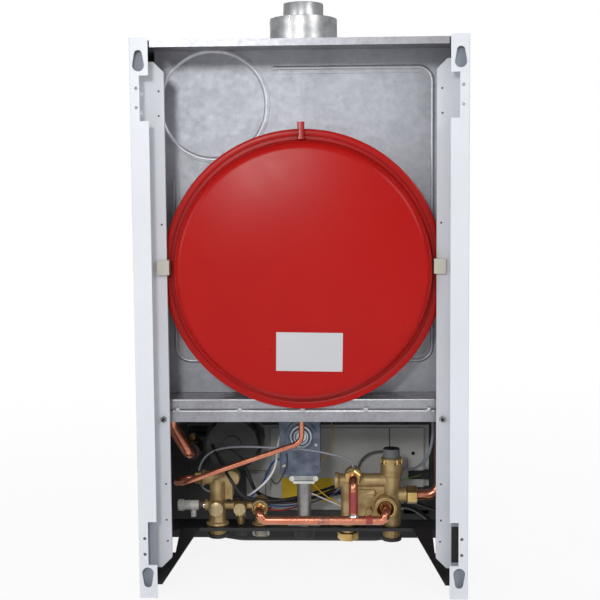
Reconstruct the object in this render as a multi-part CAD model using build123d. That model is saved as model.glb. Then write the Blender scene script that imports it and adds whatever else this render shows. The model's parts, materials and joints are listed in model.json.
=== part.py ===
from build123d import *
import os
from math import asin, cos, sin

os.makedirs("parts", exist_ok=True)

# Wall-hung gas boiler, sealed chamber, seen from the front: X to the right, Y to the back, Z up.
# The wall is the plane Y = 0 and the origin lies midway between the two upper hanging keyholes.

# Case
case_width = 450.0
case_height = 760.0
case_depth = 345.0
hook_drop = 21.5
case_steel = 1.0
rear_flange = 25.0
front_return = 14.0
bend_radius = 1.8
cover_depth = 26.0
cover_height = 563.5
cover_corner = 6.0
seat_gap = 0.3

# Hanging keyholes and openings in the rear flanges
hook_inset = 12.0
hook_narrow_radius = 5.5
hook_wide_radius = 8.0
hook_step = 14.5
lower_hook_drop = 718.0
window_height = 60.0
window_width = 12.0
upper_window_drop = 27.9
lower_window_drop = 632.0
fixing_radius = 2.2
fixing_inset = 8.5
fixing_drops = (44.6, 70.0, 655.0, 677.0)

# Folded uprights behind the flanges
upright_depth = 30.0
upright_reach = 41.0
upright_lip = 6.0
upright_side = 30.0
upright_top_drop = 6.5
upright_foot_drop = 704.5
upright_chamfer = 14.0
upright_screw_inset = 33.0
upright_screw_z = -495.0
screw_radius = 1.9
screw_clearance = 0.2
screw_head_radius = 4.2
screw_head_height = 3.2

# Top frame and flue
frame_drop = 3.0
frame_band = 9.5
flue_offset = 175.0
air_duct_radius = 50.0
flue_duct_radius = 30.0
duct_wall = 1.5
flue_neck = 0.6
air_duct_top = 69.3
flue_duct_top = 91.2
flue_flange_radius = 65.0
flue_flange_height = 2.0
flue_web_height = 8.0
flue_web_width = 2.0

# Sealed chamber
chamber_side_gap = 16.0
chamber_rear = 110.0
chamber_front_gap = 27.0
chamber_floor = -470.0
chamber_steel = 1.0
back_plate_foot = -432.5
emboss = 1.5
rib_side = 25.0
rib_top = -8.0
rib_foot = -424.0
rib_band = 8.0
rib_corner = 20.0
rib_gap_foot = -165.0
rib_gap_x = 40.0
disc_x = 126.0
disc_z = -58.5
disc_radius = 77.0
disc_band = 3.5
square_side = 12.0
square_x = 137.0
square_z = -450.5
sight_radius = 15.0
sight_flange = 19.0
sight_depth = 3.0
sight_z = -392.0

# Crossbar below the vessel
bar_side_gap = 1.0
bar_rear = 49.5
bar_top = -470.5
bar_step = 1.5
bar_step_z = -484.0
bar_foot = -502.5
bar_steel = 1.0
dart_pitch = 88.0
dart_half = 5.0
slot_width = 6.0
slots = ((156.0, 32.0), (106.0, 18.0), (-108.0, 20.0), (-156.0, 30.0))

# Expansion vessel
vessel_x = -2.0
vessel_z = -290.0
vessel_rim_radius = 192.8
vessel_rim_rear = 41.0
vessel_rim_width = 6.0
vessel_wall = 1.4
vessel_dome_radius = 178.0
vessel_face_radius = 163.0
vessel_face_rear = 7.0
vessel_crown_radius = 70.0
vessel_shoulder_rear = 13.5
vessel_front = 99.0
vessel_front_radius = 150.0
diaphragm = 1.4
diaphragm_front = 70.0
vessel_sides = 48
vessel_port_radius = 6.0
air_valve_x = -1.0
air_valve_y = -33.0
air_valve_radius = 4.2
air_valve_top = -88.5
clip_height = 20.0
clip_z = -284.5

# Vessel pipe
vessel_pipe_radius = 4.0
vessel_port_x = 3.0
vessel_port_y = -80.0
vessel_port_z = -464.0
vessel_nut_flats = 17.0
vessel_pipe_knee_z = -538.0
vessel_pipe_hook_inset = 29.0
vessel_pipe_hook_y = -99.0

# Pipe connections under the boiler
port_pitch = 65.0
port_centre = 2.5
port_depth = 150.0
tray_top = -677.2
tray_steel = 1.2
large_thread = 13.2
small_thread = 10.5
thread_foot = -694.4
flow_thread_drop = 4.1
small_thread_rise = 3.0
cap_wall = 1.2
cap_clearance = 0.1
cap_depth = 5.5
clear_cap_depth = 12.0
outlet_nut_flats = 27.0

# Support tray
tray_half = 158.0
tray_front = 178.0
tray_rear = 130.0
tray_lip = 4.6
tray_arm_foot = -722.0
tray_arm_rear = 12.0
tray_arm_inset = 26.0
rail_foot = -734.0
rail_reach = 28.0
rail_steel = 1.2

# Brass return group, on the right seen from the front
return_riser_radius = 11.5
return_base_radius = 13.0
return_tee_z = -606.0
return_tee_radius = 10.0
return_tee_half = 22.0
return_ball_radius = 12.0
return_cross_z = -648.0
return_cross_radius = 6.0
return_disc_radius = 11.0
tap_disc_radius = 9.5
tap_x = 97.5
cold_boss_radius = 12.0
boss_rear = 124.0
pump_branch_z = -619.0
pump_branch_radius = 9.0
safety_radius = 10.0
safety_length = 34.0

# Brass flow group, on the left seen from the front
flow_bar_z = -610.0
flow_bar_radius = 10.5
flow_bar_end = -43.0
flow_boss_x = -70.5
flow_boss_z = -600.0
flow_boss_radius = 12.5
cartridge_radius = 13.0
bonnet_radius = 16.5
bonnet_foot = -601.5
bonnet_top = -575.0
valve_cap_radius = 12.3
valve_cap_top = -562.0
eye_x = -118.0
eye_z = -645.6
eye_radius = 17.0
eye_bore = 12.5
side_port_z = -631.6
side_nut_flats = 24.0
side_nut_end = -166.0

# Copper pipes
flow_pipe_radius = 7.8
return_pipe_radius = 9.0
bypass_radius = 6.4
exchanger_port_z = -205.0
pipe_sides = 8
bar_sides = 14
gas_pipe_radius = 10.0

# Drain cock, filling tap and safety knob
drain_z = -648.0
knob_clearance = 0.05
drain_knob_radius = 8.5
drain_knob_x = 188.0

# Gas valve
gas_valve_x = 8.0
gas_valve_width = 60.0
gas_valve_rear = 135.0
gas_valve_depth = 65.0
gas_valve_top = -512.0
gas_valve_foot = -598.0
gas_cover_radius = 23.0
gas_outlet_y = -180.0

# Pump
pump_x = 112.0
pump_z = -562.0
pump_radius = 45.0
pump_front = 243.0
pump_split = 212.0
pump_rear = 174.0
pump_motor_radius = 39.0
pump_wall = 4.0
pump_port_x = 173.5
pump_port_z = -571.0
pump_port_radius = 13.0
impeller_radius = 27.0
shaft_radius = 3.0

# Burner, exchanger, hood and fan
stack_half = 120.0
stack_front = 290.0
stack_rear = 130.0
stack_steel = 1.2
casing_foot = -400.0
casing_top = -238.0
lining = 9.0
exchanger_top = -170.0
exchanger_wall = 1.5
tank_width = 12.0
fin_pitch = 8.0
fin_thickness = 0.8
hood_top = -155.0
plenum_top = -36.0
plenum_front = 152.0
fan_x = -32.0
fan_z = -88.0
fan_radius = 57.0
fan_rear = 153.0
fan_front = 201.0
fan_steel = 1.2
fan_eye = 24.0
fan_outlet_half = 27.0
fan_throat = 21.0
fan_spigot_height = 18.0
fan_wheel_radius = 44.0
fan_blades = 20
switch_y = -200.0
switch_z = -60.0
fan_motor_radius = 32.0
fan_motor_length = 38.0
burner_blades = 10
burner_top = -404.0
burner_foot = -432.0
manifold_z = -424.0
manifold_side = 14.0

# Control box and its controls
box_side_gap = 5.0
box_top_gap = 5.0
box_front_gap = 10.0
box_depth = 73.0
box_side_lift = 7.5
box_lift_from = 101.0
box_lift_to = 138.0
box_wall = 2.5
box_belly = 26.0
hinge_inset = 6.0
hinge_z = -726.0
hinge_radius = 3.0
hinge_clearance = 0.08
back_side = 29.0
back_thickness = 3.0
back_relief = 9.0
knob_radius = 17.0
knob_height = 12.0
knob_shaft = 4.0
heating_knob_x = -120.0
water_knob_x = -62.0
control_z = -648.0
gauge_x = 110.0
gauge_radius = 20.0
gauge_depth = 30.0
button_x = 10.0
button_radius = 6.0
button_travel = 2.0

# Cables
cable_radius = 1.5
thick_cable_radius = 3.0

# Worked out from the values above
half_width = case_width / 2
case_top = hook_drop
case_foot = case_top - case_height
cover_rear = case_depth - cover_depth
cover_foot = case_top - cover_height
frame_top = case_top - frame_drop
frame_under = frame_top - case_steel
inner_half = half_width - case_steel
upright_inner = half_width - upright_reach
upright_screw_x = half_width - upright_screw_inset
chamber_half = half_width - chamber_side_gap
chamber_front = case_depth - chamber_front_gap
rib_half_width = chamber_half - rib_side
bar_half = inner_half - bar_side_gap
tray_arm_x = half_width - tray_arm_inset
box_half = half_width - box_side_gap
box_top = cover_foot - box_top_gap
box_front = case_depth - box_front_gap
box_rear = box_front - box_depth
hinge_y = -(box_rear + hinge_inset)
rail_front = box_rear + rail_reach
back_half = box_half - back_side
vessel_pipe_hook_x = half_width - vessel_pipe_hook_inset
ports = [port_centre + port_pitch * step for step in (2, 1, 0, -1, -2)]
return_x, cold_x, gas_x, hot_x, flow_x = ports
seat_z = tray_top + seat_gap


def block(x, y, z):
    """Box between a low and a high value on each axis."""
    size = [high - low for low, high in (x, y, z)]
    middle = [(high + low) / 2 for low, high in (x, y, z)]
    return Pos(*middle) * Box(*size)


def rod(radius, start, direction, length):
    """Round bar from a point along a direction."""
    cylinder = Cylinder(radius, length, align=(Align.CENTER, Align.CENTER, Align.MIN))
    return Plane(origin=start, z_dir=direction) * cylinder


def tube(radius, bore, start, direction, length):
    """True round bar with a bore right through."""
    return rod(radius, start, direction, length) - rod(bore, start, direction, length)


def bar(radius, start, direction, length, sides=bar_sides):
    """Round bar of the hidden and small parts, as a prism whose corners lie on its circle."""
    face = Plane(origin=start, z_dir=direction) * RegularPolygon(radius, sides)
    return extrude(face, amount=length)


def hole(radius, start, direction, length, sides=bar_sides):
    """Clearance hole round a bar, with its flats on its circle."""
    face = Plane(origin=start, z_dir=direction) * RegularPolygon(radius, sides, major_radius=False)
    return extrude(face, amount=length)


def dished(stations, centre, sides):
    """Shallow dish or drum through (radius, distance along Y) stations."""
    sections = []
    for radius, along in stations:
        plane = Plane(origin=(centre[0], centre[1] + along, centre[2]), x_dir=(1, 0, 0), z_dir=(0, 1, 0))
        sections.append(plane * RegularPolygon(radius, sides))
    return loft(sections, ruled=True)


def taper(radius, end_radius, start, direction, length):
    """Cone frustum from a point along a direction."""
    cone = Cone(radius, end_radius, length, align=(Align.CENTER, Align.CENTER, Align.MIN))
    return Plane(origin=start, z_dir=direction) * cone


def hexagon(flats, start, direction, length):
    """Hexagonal bar given by its width across flats."""
    face = Plane(origin=start, z_dir=direction) * RegularPolygon(flats / 2, 6, major_radius=False)
    return extrude(face, amount=length)


def bent(section, points, radii):
    """Sweep of a sketch along straight runs joined by tangent arcs."""
    path = FilletPolyline(*points, radius=radii)
    start = Plane(origin=points[0], z_dir=Vector(*points[1]) - Vector(*points[0]))
    return sweep(start * section, path=path)


def pipe(radius, points, radii):
    """Copper pipe along straight runs and arcs, with a faceted section."""
    return bent(RegularPolygon(radius, pipe_sides), points, radii)


def mirrored(shape):
    """The same sheet part for the other side of the case."""
    return mirror(shape, about=Plane.YZ)


def save(name, *pieces):
    """Write the solids of one node."""
    solids = [solid for piece in pieces for solid in piece.solids()]
    shape = solids[0] if len(solids) == 1 else Compound(children=solids)
    export_step(shape, f"parts/{name}.step")


def rear_plane(x, z, y=0.0):
    """Plane facing the front with its vertical axis up, for cuts through upright sheets."""
    return Plane(origin=(x, y, z), x_dir=(1, 0, 0), z_dir=(0, -1, 0))


def pear(wide_below):
    """Keyhole outline with its narrow end at the origin."""
    side = -1 if wide_below else 1
    lean = asin((hook_wide_radius - hook_narrow_radius) / hook_step)
    narrow = (hook_narrow_radius * cos(lean), -side * hook_narrow_radius * sin(lean))
    wide = (hook_wide_radius * cos(lean), side * (hook_step - hook_wide_radius * sin(lean)))
    waist = make_face(Polyline(narrow, wide, (-wide[0], wide[1]), (-narrow[0], narrow[1]), close=True))
    return Circle(hook_narrow_radius) + Pos(0, side * hook_step) * Circle(hook_wide_radius) + waist


def side_panel():
    """Case side with its rear fixing flange and front return, for the right."""
    outline = Polyline(
        (half_width, 0),
        (half_width - rear_flange, 0),
        (half_width - rear_flange, -case_steel),
        (inner_half, -case_steel),
        (inner_half, case_steel - cover_rear),
        (half_width - front_return, case_steel - cover_rear),
        (half_width - front_return, -cover_rear),
        (half_width, -cover_rear),
        close=True,
    )
    section = make_face(outline)
    section = fillet(section.vertices().filter_by(lambda v: v.X > half_width - 0.1), bend_radius)
    panel = extrude(Pos(0, 0, case_foot) * section, amount=case_height)
    through = 2 * case_steel
    hook_x = half_width - hook_inset
    cuts = [extrude(rear_plane(hook_x, 0, case_steel / 2) * pear(True), amount=through)]
    cuts.append(extrude(rear_plane(hook_x, -lower_hook_drop, case_steel / 2) * pear(False), amount=through))
    for drop in (upper_window_drop, lower_window_drop):
        window = Rectangle(2 * window_width, window_height)
        middle = rear_plane(half_width - rear_flange, -drop - window_height / 2, case_steel / 2)
        cuts.append(extrude(middle * window, amount=through))
    for drop in fixing_drops:
        place = (half_width - fixing_inset, case_steel / 2, -drop)
        cuts.append(hole(fixing_radius, place, (0, -1, 0), through, 8))
    front = (-cover_rear - 1, case_steel - cover_rear)
    cuts.append(block((half_width - front_return - 1, inner_half), front, (case_foot - 1, cover_foot)))
    return panel - cuts


def inner_upright():
    """Folded upright that carries the crossbar and the vessel clips, for the right."""
    rear = -upright_depth
    outline = Polyline(
        (inner_half, rear),
        (upright_inner, rear),
        (upright_inner, rear - upright_lip),
        (upright_inner + case_steel, rear - upright_lip),
        (upright_inner + case_steel, rear - case_steel),
        (bar_half, rear - case_steel),
        (bar_half, rear - upright_side),
        (inner_half, rear - upright_side),
        close=True,
    )
    height = upright_foot_drop - upright_top_drop
    upright = extrude(Pos(0, 0, -upright_foot_drop) * make_face(outline), amount=height)
    for z, side in ((-upright_foot_drop, 1), (-upright_top_drop, -1)):
        corner = Polyline((0, 0), (upright_chamfer, 0), (0, side * upright_chamfer), close=True)
        cut = rear_plane(upright_inner, z, rear + case_steel) * make_face(corner)
        upright -= extrude(cut, amount=upright_side)
    place = (upright_screw_x, rear + case_steel, upright_screw_z)
    return upright - hole(screw_radius + screw_clearance, place, (0, -1, 0), 3 * case_steel, 6)


def front_cover():
    """Lift-off white front with side, top and bottom returns."""
    shells = []
    for inset, rear in ((0, cover_rear + seat_gap), (case_steel, cover_rear)):
        x = half_width - inset
        top = case_top - inset
        foot = cover_foot + inset
        shell = block((-x, x), (-case_depth + inset, -rear), (foot, top))
        front_edges = shell.edges().filter_by(Axis.Z).group_by(Axis.Y)[0]
        shells.append(fillet(front_edges, cover_corner - inset))
    return shells[0] - shells[1]


def top_frame():
    """Galvanised top plate with folded edges and the flue opening."""
    half = inner_half
    rear = case_steel + 0.2
    front = cover_rear - case_steel
    plate = block((-half, half), (-front, -rear), (frame_under, frame_top))
    edge = half - rear_flange - 1
    plate += block((-edge, edge), (-rear - case_steel, -rear), (frame_top - frame_band, frame_under))
    return plate - hole(air_duct_radius + 2, (0, -flue_offset, frame_under - 1), (0, 0, 1), 4, 32)


def chamber_back_plate():
    """Rear wall of the sealed chamber with its pressed stiffening."""
    half = chamber_half - chamber_steel
    depth = (-chamber_rear - chamber_steel, -chamber_rear)
    plate = block((-half, half), depth, (back_plate_foot, frame_under))
    height = rib_top - rib_foot
    middle = rear_plane(0, (rib_top + rib_foot) / 2, emboss - chamber_rear)
    rib = RectangleRounded(2 * rib_half_width, height, rib_corner)
    rib -= RectangleRounded(2 * (rib_half_width - rib_band), height - 2 * rib_band, rib_corner - rib_band)
    rib = extrude(middle * rib, amount=emboss)
    rib -= block((rib_gap_x, chamber_half), (-chamber_rear - 1, 0), (rib_gap_foot, 0))
    disc = tube(disc_radius + disc_band, disc_radius, (disc_x, -chamber_rear, disc_z), (0, 1, 0), emboss)
    disc -= block((0, 2 * chamber_half), (-chamber_rear - 1, 0), (frame_under - emboss, case_top + disc_radius))
    return plate + rib + disc


def chamber_shell():
    """Side walls and floor of the sealed chamber, with the lower rear flange."""
    half = chamber_half
    y = (-chamber_front, -chamber_rear)
    walls = [block((x, x + chamber_steel), y, (chamber_floor, frame_under)) for x in (-half, half - chamber_steel)]
    floor = block((-half, half), y, (chamber_floor, chamber_floor + chamber_steel))
    flange = block((-half, half), (-chamber_rear - chamber_steel, -chamber_rear), (chamber_floor, back_plate_foot))
    shell = floor + walls + flange
    for x in (-square_x, square_x):
        z = (square_z - square_side / 2, square_z + square_side / 2)
        side = (x - square_side / 2, x + square_side / 2)
        shell += block(side, (-chamber_rear, emboss - chamber_rear), z)
    under = chamber_floor - 1
    shell -= hole(gas_pipe_radius + 2, (gas_x, gas_riser_front(), under), (0, 0, 1), 4)
    for x, radius in ((-flow_drop_x(), flow_pipe_radius), (flow_drop_x(), return_pipe_radius)):
        shell -= hole(radius + 0.5, (x, -port_depth, under), (0, 0, 1), 4)
    return shell


def flow_drop_x():
    """Distance from the middle at which the two large copper pipes run down the case."""
    return chamber_half - chamber_steel - return_pipe_radius - 2


def gas_riser_front():
    """Depth at which the gas riser passes the chamber floor."""
    return manifold_side / 2 - stack_front - manifold_side - 1


def chamber_cover():
    """Flat front of the sealed chamber with the opening for the sight glass."""
    half = chamber_half
    depth = (-chamber_front - chamber_steel, -chamber_front)
    cover = block((-half, half), depth, (chamber_floor, frame_under))
    return cover - hole(sight_radius, (0, -chamber_front + 1, sight_z), (0, -1, 0), 4)


def sight_glass():
    """Stepped round window over the burner."""
    face = -chamber_front - chamber_steel
    plug = bar(sight_radius - 0.2, (0, face + chamber_steel, sight_z), (0, -1, 0), chamber_steel)
    return plug + bar(sight_flange, (0, face, sight_z), (0, -1, 0), sight_depth)


def crossbar():
    """Stepped galvanised bar under the vessel, with a slotted shelf back to the chamber."""
    rear = -bar_rear
    upper = rear - bar_step
    shelf_front = -chamber_rear + seat_gap
    slope = 2 * bar_step
    outline = Polyline(
        (shelf_front, bar_top),
        (upper, bar_top),
        (upper, bar_step_z),
        (rear, bar_step_z - slope),
        (rear, bar_foot),
        (rear - bar_steel, bar_foot),
        (rear - bar_steel, bar_step_z - slope - 0.4),
        (upper - bar_steel, bar_step_z - 0.4),
        (upper - bar_steel, bar_top - bar_steel),
        (shelf_front, bar_top - bar_steel),
        close=True,
    )
    section = Plane(origin=(-bar_half, 0, 0), x_dir=(0, 1, 0), z_dir=(1, 0, 0)) * make_face(outline)
    shelf = extrude(section, amount=2 * bar_half)
    for step in range(-2, 3):
        x = port_centre + step * dart_pitch
        foot = (x, bar_step_z - 3 * slope)
        dart = Polyline((x - dart_half, bar_step_z), (x + dart_half, bar_step_z), foot, close=True)
        plane = Plane(origin=(0, rear, 0), x_dir=(1, 0, 0), z_dir=(0, -1, 0))
        shelf += extrude(plane * make_face(dart), amount=bar_step)
    for x, length in slots:
        slot = Pos(x, (shelf_front + upper) / 2, bar_top + 1) * SlotOverall(length, slot_width)
        shelf -= extrude(slot, amount=-4)
    return shelf - hole(vessel_nut_flats * 0.7, (vessel_port_x, vessel_port_y, bar_top + 1), (0, 0, -1), 4)


def support_tray():
    """Black pressed tray that holds the pipe connections, with arms and rails along the case."""
    under = tray_top - tray_steel
    tray = block((-tray_half, tray_half), (-tray_front, -tray_rear), (under, tray_top))
    tray += block((-tray_half, tray_half), (-tray_rear - tray_steel, -tray_rear), (tray_top - tray_lip, under))
    rail_inner = inner_half - rail_steel
    profile = Polyline(
        (-tray_front, tray_top),
        (-tray_rear, tray_top),
        (-tray_arm_rear, tray_arm_foot),
        (-tray_arm_rear, tray_arm_foot - tray_steel),
        (-tray_rear - tray_steel, under),
        (-tray_front, under),
        close=True,
    )
    for side in (-1, 1):
        plane = Plane(origin=(side * tray_half, 0, 0), x_dir=(0, 1, 0), z_dir=(1, 0, 0))
        arm = extrude(plane * make_face(profile), amount=side * (rail_inner - tray_half))
        corner = Polyline((tray_half, -tray_rear), (tray_arm_x, 0), (tray_half, 0), close=True)
        cut = extrude(Pos(0, 0, tray_arm_foot - 10) * make_face(corner), amount=60)
        gap = block((tray_half + 28, rail_inner - 6), (4 - tray_rear, 54 - tray_rear), (tray_arm_foot, tray_top + 1))
        cuts = (cut, gap) if side > 0 else (mirrored(cut), mirrored(gap))
        for piece in cuts:
            arm -= piece
        depth = (-rail_front, -upright_depth - upright_side - 1)
        rail = block((rail_inner, inner_half), depth, (rail_foot, tray_top))
        ear = rod(hinge_radius + hinge_clearance, (rail_inner - 1, hinge_y, hinge_z), (1, 0, 0), 4)
        rail -= ear
        tray += arm
        tray += rail if side > 0 else mirrored(rail)
    radii = (large_thread, small_thread, large_thread, small_thread, large_thread)
    for x, radius in zip(ports, radii):
        tray -= hole(radius + 0.4, (x, -port_depth, under - 1), (0, 0, 1), 4)
    return tray - hole(5.2, (tap_x, -port_depth, under - 1), (0, 0, 1), 4)


def case_screws():
    """Hexagon screws of the uprights and pan heads of the chamber cover."""
    pieces = []
    length = bar_rear - upright_depth - seat_gap
    for x in (-upright_screw_x, upright_screw_x):
        seat = (x, -upright_depth, upright_screw_z)
        head = hexagon(2 * screw_head_radius, seat, (0, 1, 0), screw_head_height)
        pieces.append(head + bar(screw_radius, seat, (0, -1, 0), length, 6))
    face = -chamber_front - chamber_steel
    for x in (-chamber_half + 8, chamber_half - 8):
        for z in (chamber_floor + 12, (chamber_floor + frame_under) / 2, frame_under - 12):
            pieces.append(bar(screw_head_radius, (x, face, z), (0, -1, 0), 2.2, 8))
    return pieces


def flue_outer_collar():
    """Air inlet collar with its flange and the three centring webs."""
    centre = (0, -flue_offset, frame_top)
    bore = air_duct_radius - duct_wall
    collar = tube(air_duct_radius, bore, centre, (0, 0, 1), air_duct_top - frame_top)
    flange = bar(flue_flange_radius, centre, (0, 0, 1), flue_flange_height, 32)
    collar += flange - rod(bore, centre, (0, 0, 1), flue_flange_height)
    inner = flue_duct_radius - flue_neck + 0.1
    web_z = frame_top + flue_flange_height
    for step in range(3):
        across = (-flue_web_width / 2, flue_web_width / 2)
        web = block((inner, bore + 0.5), across, (web_z, web_z + flue_web_height))
        collar += Pos(0, -flue_offset, 0) * Rot(0, 0, 90 + 120 * step) * web
    return collar


def flue_inner_collar():
    """Flue gas collar on the fan outlet, swaged out where the flue pipe slides on."""
    foot = plenum_top + 6
    neck = flue_duct_radius - flue_neck
    axis = (0, -flue_offset)
    collar = bar(neck, (*axis, foot), (0, 0, 1), air_duct_top - foot, 32)
    collar += rod(flue_duct_radius, (*axis, air_duct_top), (0, 0, 1), flue_duct_top - air_duct_top)
    return collar - hole(flue_duct_radius - duct_wall, (*axis, foot - 1), (0, 0, 1), flue_duct_top - foot + 2, 24)


def hood_body(inset):
    """Outer or inner form of the flue hood."""
    half = stack_half - 10 - inset
    low = exchanger_top + seat_gap - (1 if inset else 0)
    body = block((-half, half), (inset - stack_front + 2, -stack_rear - 2 - inset), (low, hood_top - inset))
    return body + block((-half, half), (inset - plenum_front, -stack_rear - 2 - inset), (low, plenum_top - inset))


def flue_hood():
    """Sheet hood over the exchanger with a plenum behind the fan."""
    hood = hood_body(0) - hood_body(1)
    return hood - bar(fan_eye, (fan_x, -plenum_front - 1, fan_z), (0, 1, 0), 4, 16)


def fan_body(inset, top):
    """Outer or inner form of the scroll and its outlet."""
    depth = fan_front - fan_rear - 2 * inset
    scroll = bar(fan_radius - inset, (fan_x, -fan_front + inset, fan_z), (0, 1, 0), depth, 28)
    half = fan_outlet_half - inset
    return scroll + block((-half, half), (-fan_front + inset, -fan_rear - inset), (fan_z, top))


def fan_housing():
    """Scroll with its inlet eye, shaft hole and round outlet."""
    spigot = flue_duct_radius - duct_wall - 0.3
    axis = (0, -flue_offset, plenum_top)
    housing = fan_body(0, plenum_top) + bar(spigot, axis, (0, 0, 1), fan_spigot_height, 24)
    housing -= fan_body(fan_steel, plenum_top - fan_steel)
    housing -= bar(fan_throat, (0, -flue_offset, plenum_top - 2 * fan_steel), (0, 0, 1), 4 * fan_steel)
    housing -= bar(spigot - fan_steel, (0, -flue_offset, plenum_top + fan_steel), (0, 0, 1), fan_spigot_height, 24)
    housing -= bar(fan_eye, (fan_x, -fan_rear - 3, fan_z), (0, 1, 0), 6)
    return housing - bar(shaft_radius + 2, (fan_x, -fan_front - 1, fan_z), (0, 1, 0), 4)


def fan_motor():
    """Motor can on the front of the scroll, bored for the wheel's shaft."""
    start = (fan_x, -fan_front - seat_gap, fan_z)
    can = bar(fan_motor_radius, start, (0, -1, 0), fan_motor_length, 24) + bar(14, start, (0, -1, 0), fan_motor_length + 10)
    return can - rod(shaft_radius + knob_clearance, start, (0, -1, 0), 30)


def fan_wheel():
    """Backed wheel with straight blades on a hub and shaft."""
    back = -fan_front + fan_steel + 3
    wheel = bar(fan_wheel_radius, (fan_x, back, fan_z), (0, 1, 0), 1.5, 20)
    wheel += bar(8, (fan_x, back, fan_z), (0, 1, 0), 14)
    blade = block((fan_wheel_radius - 11, fan_wheel_radius - 0.5), (0.5, 34), (-0.6, 0.6))
    for step in range(fan_blades):
        wheel += Pos(fan_x, back, fan_z) * Rot(0, 360 / fan_blades * step, 0) * blade
    return wheel + rod(shaft_radius, (fan_x, back, fan_z), (0, -1, 0), 30)


def air_pressure_switch():
    """Diaphragm switch on a bracket to the chamber side."""
    x = chamber_half - chamber_steel - seat_gap
    middle = (switch_y, switch_z)
    body = bar(26, (x - 32, *middle), (1, 0, 0), 20, 20) + bar(14, (x - 44, *middle), (1, 0, 0), 14)
    body += block((x - 14, x), (switch_y - 12, switch_y + 12), (switch_z - 12, switch_z + 12))
    return body + bar(3, (x - 24, switch_y, switch_z - 32), (0, 0, 1), 10, 8)


def electrode_places():
    """Places of the two spark electrodes and the flame sensor."""
    return [(x, -stack_front, casing_foot + 8) for x in (-34, -20, 30)]


def combustion_casing():
    """Open steel box round the flames, with standoffs to the rear wall."""
    outer = block((-stack_half, stack_half), (-stack_front, -stack_rear), (casing_foot, casing_top))
    half = stack_half - stack_steel
    depth = (-stack_front + stack_steel, -stack_rear - stack_steel)
    inner = block((-half, half), depth, (casing_foot - 1, casing_top + 1))
    casing = outer - inner
    for x in (-96, 96):
        for z in (casing_foot + 30, casing_top - 30):
            gap = (-stack_rear, -chamber_rear - chamber_steel - seat_gap)
            casing += block((x - 10, x + 10), gap, (z - 2, z + 2))
    for place in electrode_places():
        casing -= bar(3.4, (place[0], place[1] - 1, place[2]), (0, 1, 0), 4)
    return casing


def combustion_lining():
    """Ceramic fibre board inside the casing."""
    half = stack_half - stack_steel
    y = (-stack_front + stack_steel, -stack_rear - stack_steel)
    z = (casing_foot + 2, casing_top - 2)
    board = block((-half, half), y, z)
    board -= block((lining - half, half - lining), (y[0] + lining, y[1] - lining), (z[0] - 1, z[1] + 1))
    for place in electrode_places():
        board -= hole(3.4, (place[0], place[1] + 0.5, place[2]), (0, 1, 0), lining + 2, 8)
    return board


def heat_exchanger():
    """Finned copper block with an end tank on each side."""
    half = stack_half - tank_width
    z = (casing_top + seat_gap, exchanger_top)
    y = (-stack_front + 3, -stack_rear - 3)
    inside = half - exchanger_wall
    body = block((-half, half), y, z)
    body -= block((-inside, inside), (y[0] + exchanger_wall, y[1] - exchanger_wall), (z[0] - 1, z[1] + 1))
    count = int((2 * half - fin_pitch) / fin_pitch)
    first = -(count - 1) * fin_pitch / 2
    for step in range(count):
        x = first + step * fin_pitch
        body += block((x - fin_thickness / 2, x + fin_thickness / 2), (y[0] + 1, y[1] - 1), (z[0] + 6, z[1] - 4))
    for side in (-1, 1):
        tank = block((half, half + tank_width), (y[0] + 4, y[1] - 4), (z[0] + 4, z[1] - 6))
        tank = chamfer(tank.edges().filter_by(Axis.Y).group_by(Axis.X)[-1], 5)
        radius = flow_pipe_radius if side < 0 else return_pipe_radius
        end = half + tank_width
        tank += bar(radius + 2, (end - 2, -port_depth, exchanger_port_z), (1, 0, 0), 14)
        tank -= hole(radius + knob_clearance, (end + 2, -port_depth, exchanger_port_z), (1, 0, 0), 12)
        body += tank if side > 0 else mirrored(tank)
    return body


def burner_places():
    """Distances from the middle at which the burner blades and their nozzles stand."""
    pitch = 2 * (stack_half - 22) / burner_blades
    return [(step - (burner_blades - 1) / 2) * pitch for step in range(burner_blades)]


def burner():
    """Row of burner blades with narrowed tops on a common tray."""
    waist = burner_foot + 16
    half = [(0, burner_foot), (5, burner_foot), (5, waist - 4), (2.5, waist), (4, burner_top - 3), (3, burner_top)]
    other = [(-x, z) for x, z in reversed(half[1:])]
    plane = Plane(origin=(0, -stack_front + 18, 0), x_dir=(1, 0, 0), z_dir=(0, -1, 0))
    length = stack_front - stack_rear - 36
    blade = extrude(plane * make_face(Polyline(*half, *other, close=True)), amount=-length)
    depth = (-stack_front + 8, -stack_rear - 8)
    tray = block((-stack_half, stack_half), depth, (burner_foot - 3, burner_foot))
    for x in (-stack_half, stack_half - 1.5):
        tray += block((x, x + 1.5), depth, (burner_foot, casing_foot - seat_gap))
    for x in burner_places():
        tray += Pos(x, 0, 0) * blade
    return tray


def gas_manifold():
    """Square gas rail with nozzles and the brazed riser down to the gas valve."""
    middle = gas_riser_front()
    side = manifold_side / 2
    rail = block((-100, 100), (middle - side, middle + side), (manifold_z - side, manifold_z + side))
    for x in burner_places():
        rail += hexagon(6, (x, -stack_front - 1, manifold_z), (0, 1, 0), 18.7)
    low = manifold_z - side
    turn_z = chamber_floor - 19
    points = [
        (gas_x, middle, low + 2),
        (gas_x, middle, turn_z),
        (gas_x, gas_outlet_y, turn_z),
        (gas_x, gas_outlet_y, gas_valve_top + 3),
    ]
    return rail + pipe(8, points, 12)


def electrodes():
    """Ceramic insulators with their wire tips."""
    pieces = []
    for x, y, z in electrode_places():
        ceramic = bar(3.3, (x, y - 14, z), (0, 1, 0), 30, 8)
        ceramic += bar(5, (x, y - 3 - seat_gap, z), (0, 1, 0), 3, 8)
        pieces.append(ceramic + block((x - 0.8, x + 0.8), (y + 16, y + 34), (z - 0.8, z + 0.8)))
    return pieces


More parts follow.
